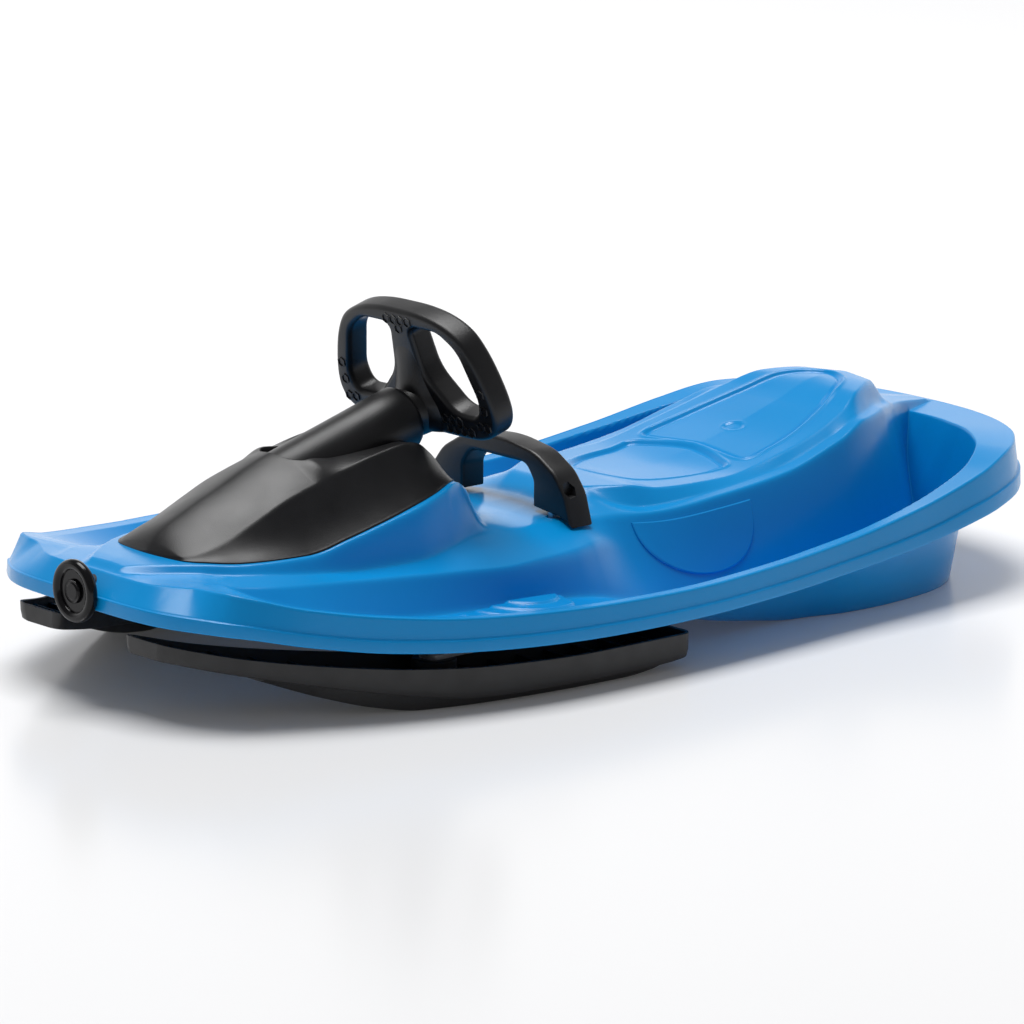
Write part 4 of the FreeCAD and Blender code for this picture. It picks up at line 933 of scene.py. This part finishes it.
# --------------------------------------------------------------------- hatches
for side, tag in ((1, "left"), (-1, "right")):
    th = np.linspace(0.02, math.pi - 0.02, 84)
    hy = 113 - 74 * np.cos(th)
    gb = 0.10 + 0.55 * np.abs(np.sin(th)) ** 0.72
    qs = np.linspace(0, 1, 30)
    xc, zc, xd, zd = wall_line(hy)
    ln = np.hypot(xd - xc, zd - zc)
    nx, nz = -(zd - zc) / ln, (xd - xc) / ln

    def layer(off, shrink):
        a = 0.10 + shrink / ln
        b = np.maximum(gb - shrink / ln, a + 0.002)
        G = a[:, None] + (b - a)[:, None] * qs[None, :]
        ym = 113 + (hy - 113) * (1 - shrink / 74.0)
        Px = xc[:, None] + (xd - xc)[:, None] * G + (nx * off)[:, None]
        Pz = zc[:, None] + (zd - zc)[:, None] * G + (nz * off)[:, None]
        return np.stack([side * Px, np.repeat(ym[:, None], len(qs), 1), Pz], -1)

    Ltop, Lmid, Llow = layer(2.0, 1.2), layer(1.2, 0.0), layer(-1.2, 0.0)
    nu, nv = Ltop.shape[:2]
    VV = np.concatenate([Ltop.reshape(-1, 3), Lmid.reshape(-1, 3), Llow.reshape(-1, 3)]) * MM
    loop = [(i, 0) for i in range(nu)] + [(nu - 1, j) for j in range(1, nv)] + [(i, nv - 1) for i in range(nu - 2, -1, -1)] + [(0, j) for j in range(nv - 2, 0, -1)]
    FF = grid_faces(nu, nv) + grid_faces(nu, nv, 2 * nu * nv, flip=True)
    for (a, b) in zip(loop, loop[1:] + loop[:1]):
        ia, ib = a[0] * nv + a[1], b[0] * nv + b[1]
        FF.append((ia, ib, nu * nv + ib, nu * nv + ia))
        FF.append((nu * nv + ia, nu * nv + ib, 2 * nu * nv + ib, 2 * nu * nv + ia))
    hob = mesh_object("hatch_" + tag + "_lid", VV, FF, angle=25)
    import bmesh
    bm = bmesh.new(); bm.from_mesh(hob.data)
    loose = [v for v in bm.verts if not v.link_faces]
    bmesh.ops.delete(bm, geom=loose, context="VERTS")
    bmesh.ops.recalc_face_normals(bm, faces=bm.faces)
    bm.to_mesh(hob.data); bm.free()
    finish_piece(hob, "hull", "blue_plastic", ["hatch_" + tag])

# ------------------------------------------------------- other CAD nodes keep their solids
for s in frame["record"]["subparts"]:
    ob = frame["nodes"].get(s["node"])
    if ob is not None and s.get("material_slot") in SLOTS:
        ob.data.materials.clear()
        ob.data.materials.append(SLOTS[s["material_slot"]])

# ----------------------------------------------------------------- floor and light
fl = bpy.data.materials.new("floor")
fl.use_nodes = True
nt = fl.node_tree
N, L = nt.nodes, nt.links
N.remove(N["Principled BSDF"])
df = N.new("ShaderNodeBsdfDiffuse"); df.inputs["Color"].default_value = (0.86, 0.86, 0.865, 1)
gl = N.new("ShaderNodeBsdfGlossy"); gl.inputs["Color"].default_value = (0.97, 0.97, 0.98, 1); gl.inputs["Roughness"].default_value = 0.20
mx = N.new("ShaderNodeMixShader"); mx.inputs["Fac"].default_value = 0.19
L.new(df.outputs["BSDF"], mx.inputs[1]); L.new(gl.outputs["BSDF"], mx.inputs[2])
em = N.new("ShaderNodeEmission"); em.inputs["Color"].default_value = (1, 1, 1, 1); em.inputs["Strength"].default_value = 0.035
sm = N.new("ShaderNodeAddShader")
L.new(mx.outputs["Shader"], sm.inputs[0]); L.new(em.outputs["Emission"], sm.inputs[1])
L.new(sm.outputs["Shader"], N["Material Output"].inputs["Surface"])
me = bpy.data.meshes.new("floor")
me.from_pydata([(-60, -60, 0), (60, -60, 0), (60, 60, 0), (-60, 60, 0)], [], [(0, 1, 2, 3)])
floor = bpy.data.objects.new("floor", me)
bpy.context.scene.collection.objects.link(floor)
me.materials.append(fl)

# studio: white low behind the sled, dim elsewhere, a soft box overhead, all fixed in the room
world = bpy.data.worlds.new("studio")
bpy.context.scene.world = world
world.use_nodes = True
nt = world.node_tree
N, L = nt.nodes, nt.links
bg = N["Background"]
tc = N.new("ShaderNodeTexCoord")
dt = N.new("ShaderNodeVectorMath"); dt.operation = "DOT_PRODUCT"
dt.inputs[1].default_value = (-0.745, 0.667, 0.0)
L.new(tc.outputs["Generated"], dt.inputs[0])
side = N.new("ShaderNodeMapRange"); side.interpolation_type = "SMOOTHSTEP"
side.inputs["From Min"].default_value, side.inputs["From Max"].default_value = -0.05, 0.55
L.new(dt.outputs["Value"], side.inputs["Value"])
xyz = N.new("ShaderNodeSeparateXYZ")
L.new(tc.outputs["Generated"], xyz.inputs["Vector"])
low = N.new("ShaderNodeMapRange"); low.interpolation_type = "SMOOTHSTEP"
low.inputs["From Min"].default_value, low.inputs["From Max"].default_value = 0.30, 0.62
low.inputs["To Min"].default_value, low.inputs["To Max"].default_value = 1.0, 0.0
L.new(xyz.outputs["Z"], low.inputs["Value"])
both = N.new("ShaderNodeMath"); both.operation = "MULTIPLY"
L.new(side.outputs["Result"], both.inputs[0]); L.new(low.outputs["Result"], both.inputs[1])
rm = N.new("ShaderNodeValToRGB")
rm.color_ramp.elements[0].position, rm.color_ramp.elements[0].color = 0.0, (0.20, 0.20, 0.205, 1)
rm.color_ramp.elements[1].position, rm.color_ramp.elements[1].color = 1.0, (1.05, 1.05, 1.05, 1)
L.new(both.outputs["Value"], rm.inputs["Fac"])
L.new(rm.outputs["Color"], bg.inputs["Color"])
bg.inputs["Strength"].default_value = 1.0
bpy.context.scene.view_settings.view_transform = "Standard"


def area(name, loc, target, size, energy, col=(1, 1, 1)):
    li = bpy.data.lights.new(name, "AREA")
    li.shape = "RECTANGLE"
    li.size, li.size_y = size
    li.energy = energy
    li.color = col
    ob = bpy.data.objects.new(name, li)
    ob.location = loc
    d = Vector(target) - Vector(loc)
    ob.rotation_euler = d.to_track_quat("-Z", "Y").to_euler()
    bpy.context.scene.collection.objects.link(ob)
    return ob


area("top", (-2.1, 0.4, 9.0), (-2.1, 0.4, 0.1), (5.2, 6.4), 890)

cam_data = bpy.data.cameras.new("camera")
cam_data.sensor_width = 36.0
cam_data.lens = 36.0 * 5972.6 / 1024.0
cam_data.clip_end = 100.0
cam = bpy.data.objects.new("camera", cam_data)
r = Vector((0.6623, 0.7492, 0.0074)); u = Vector((-0.1747, 0.1449, 0.9739)); b = Vector((0.7286, -0.6463, 0.2269))
b.normalize(); r = (r - b * r.dot(b)).normalized(); u = b.cross(r)
cam.matrix_world = Matrix(((r.x, u.x, b.x, 4.430), (r.y, u.y, b.y, -3.949), (r.z, u.z, b.z, 1.486), (0, 0, 0, 1)))
bpy.context.scene.collection.objects.link(cam)
bpy.context.scene.camera = cam
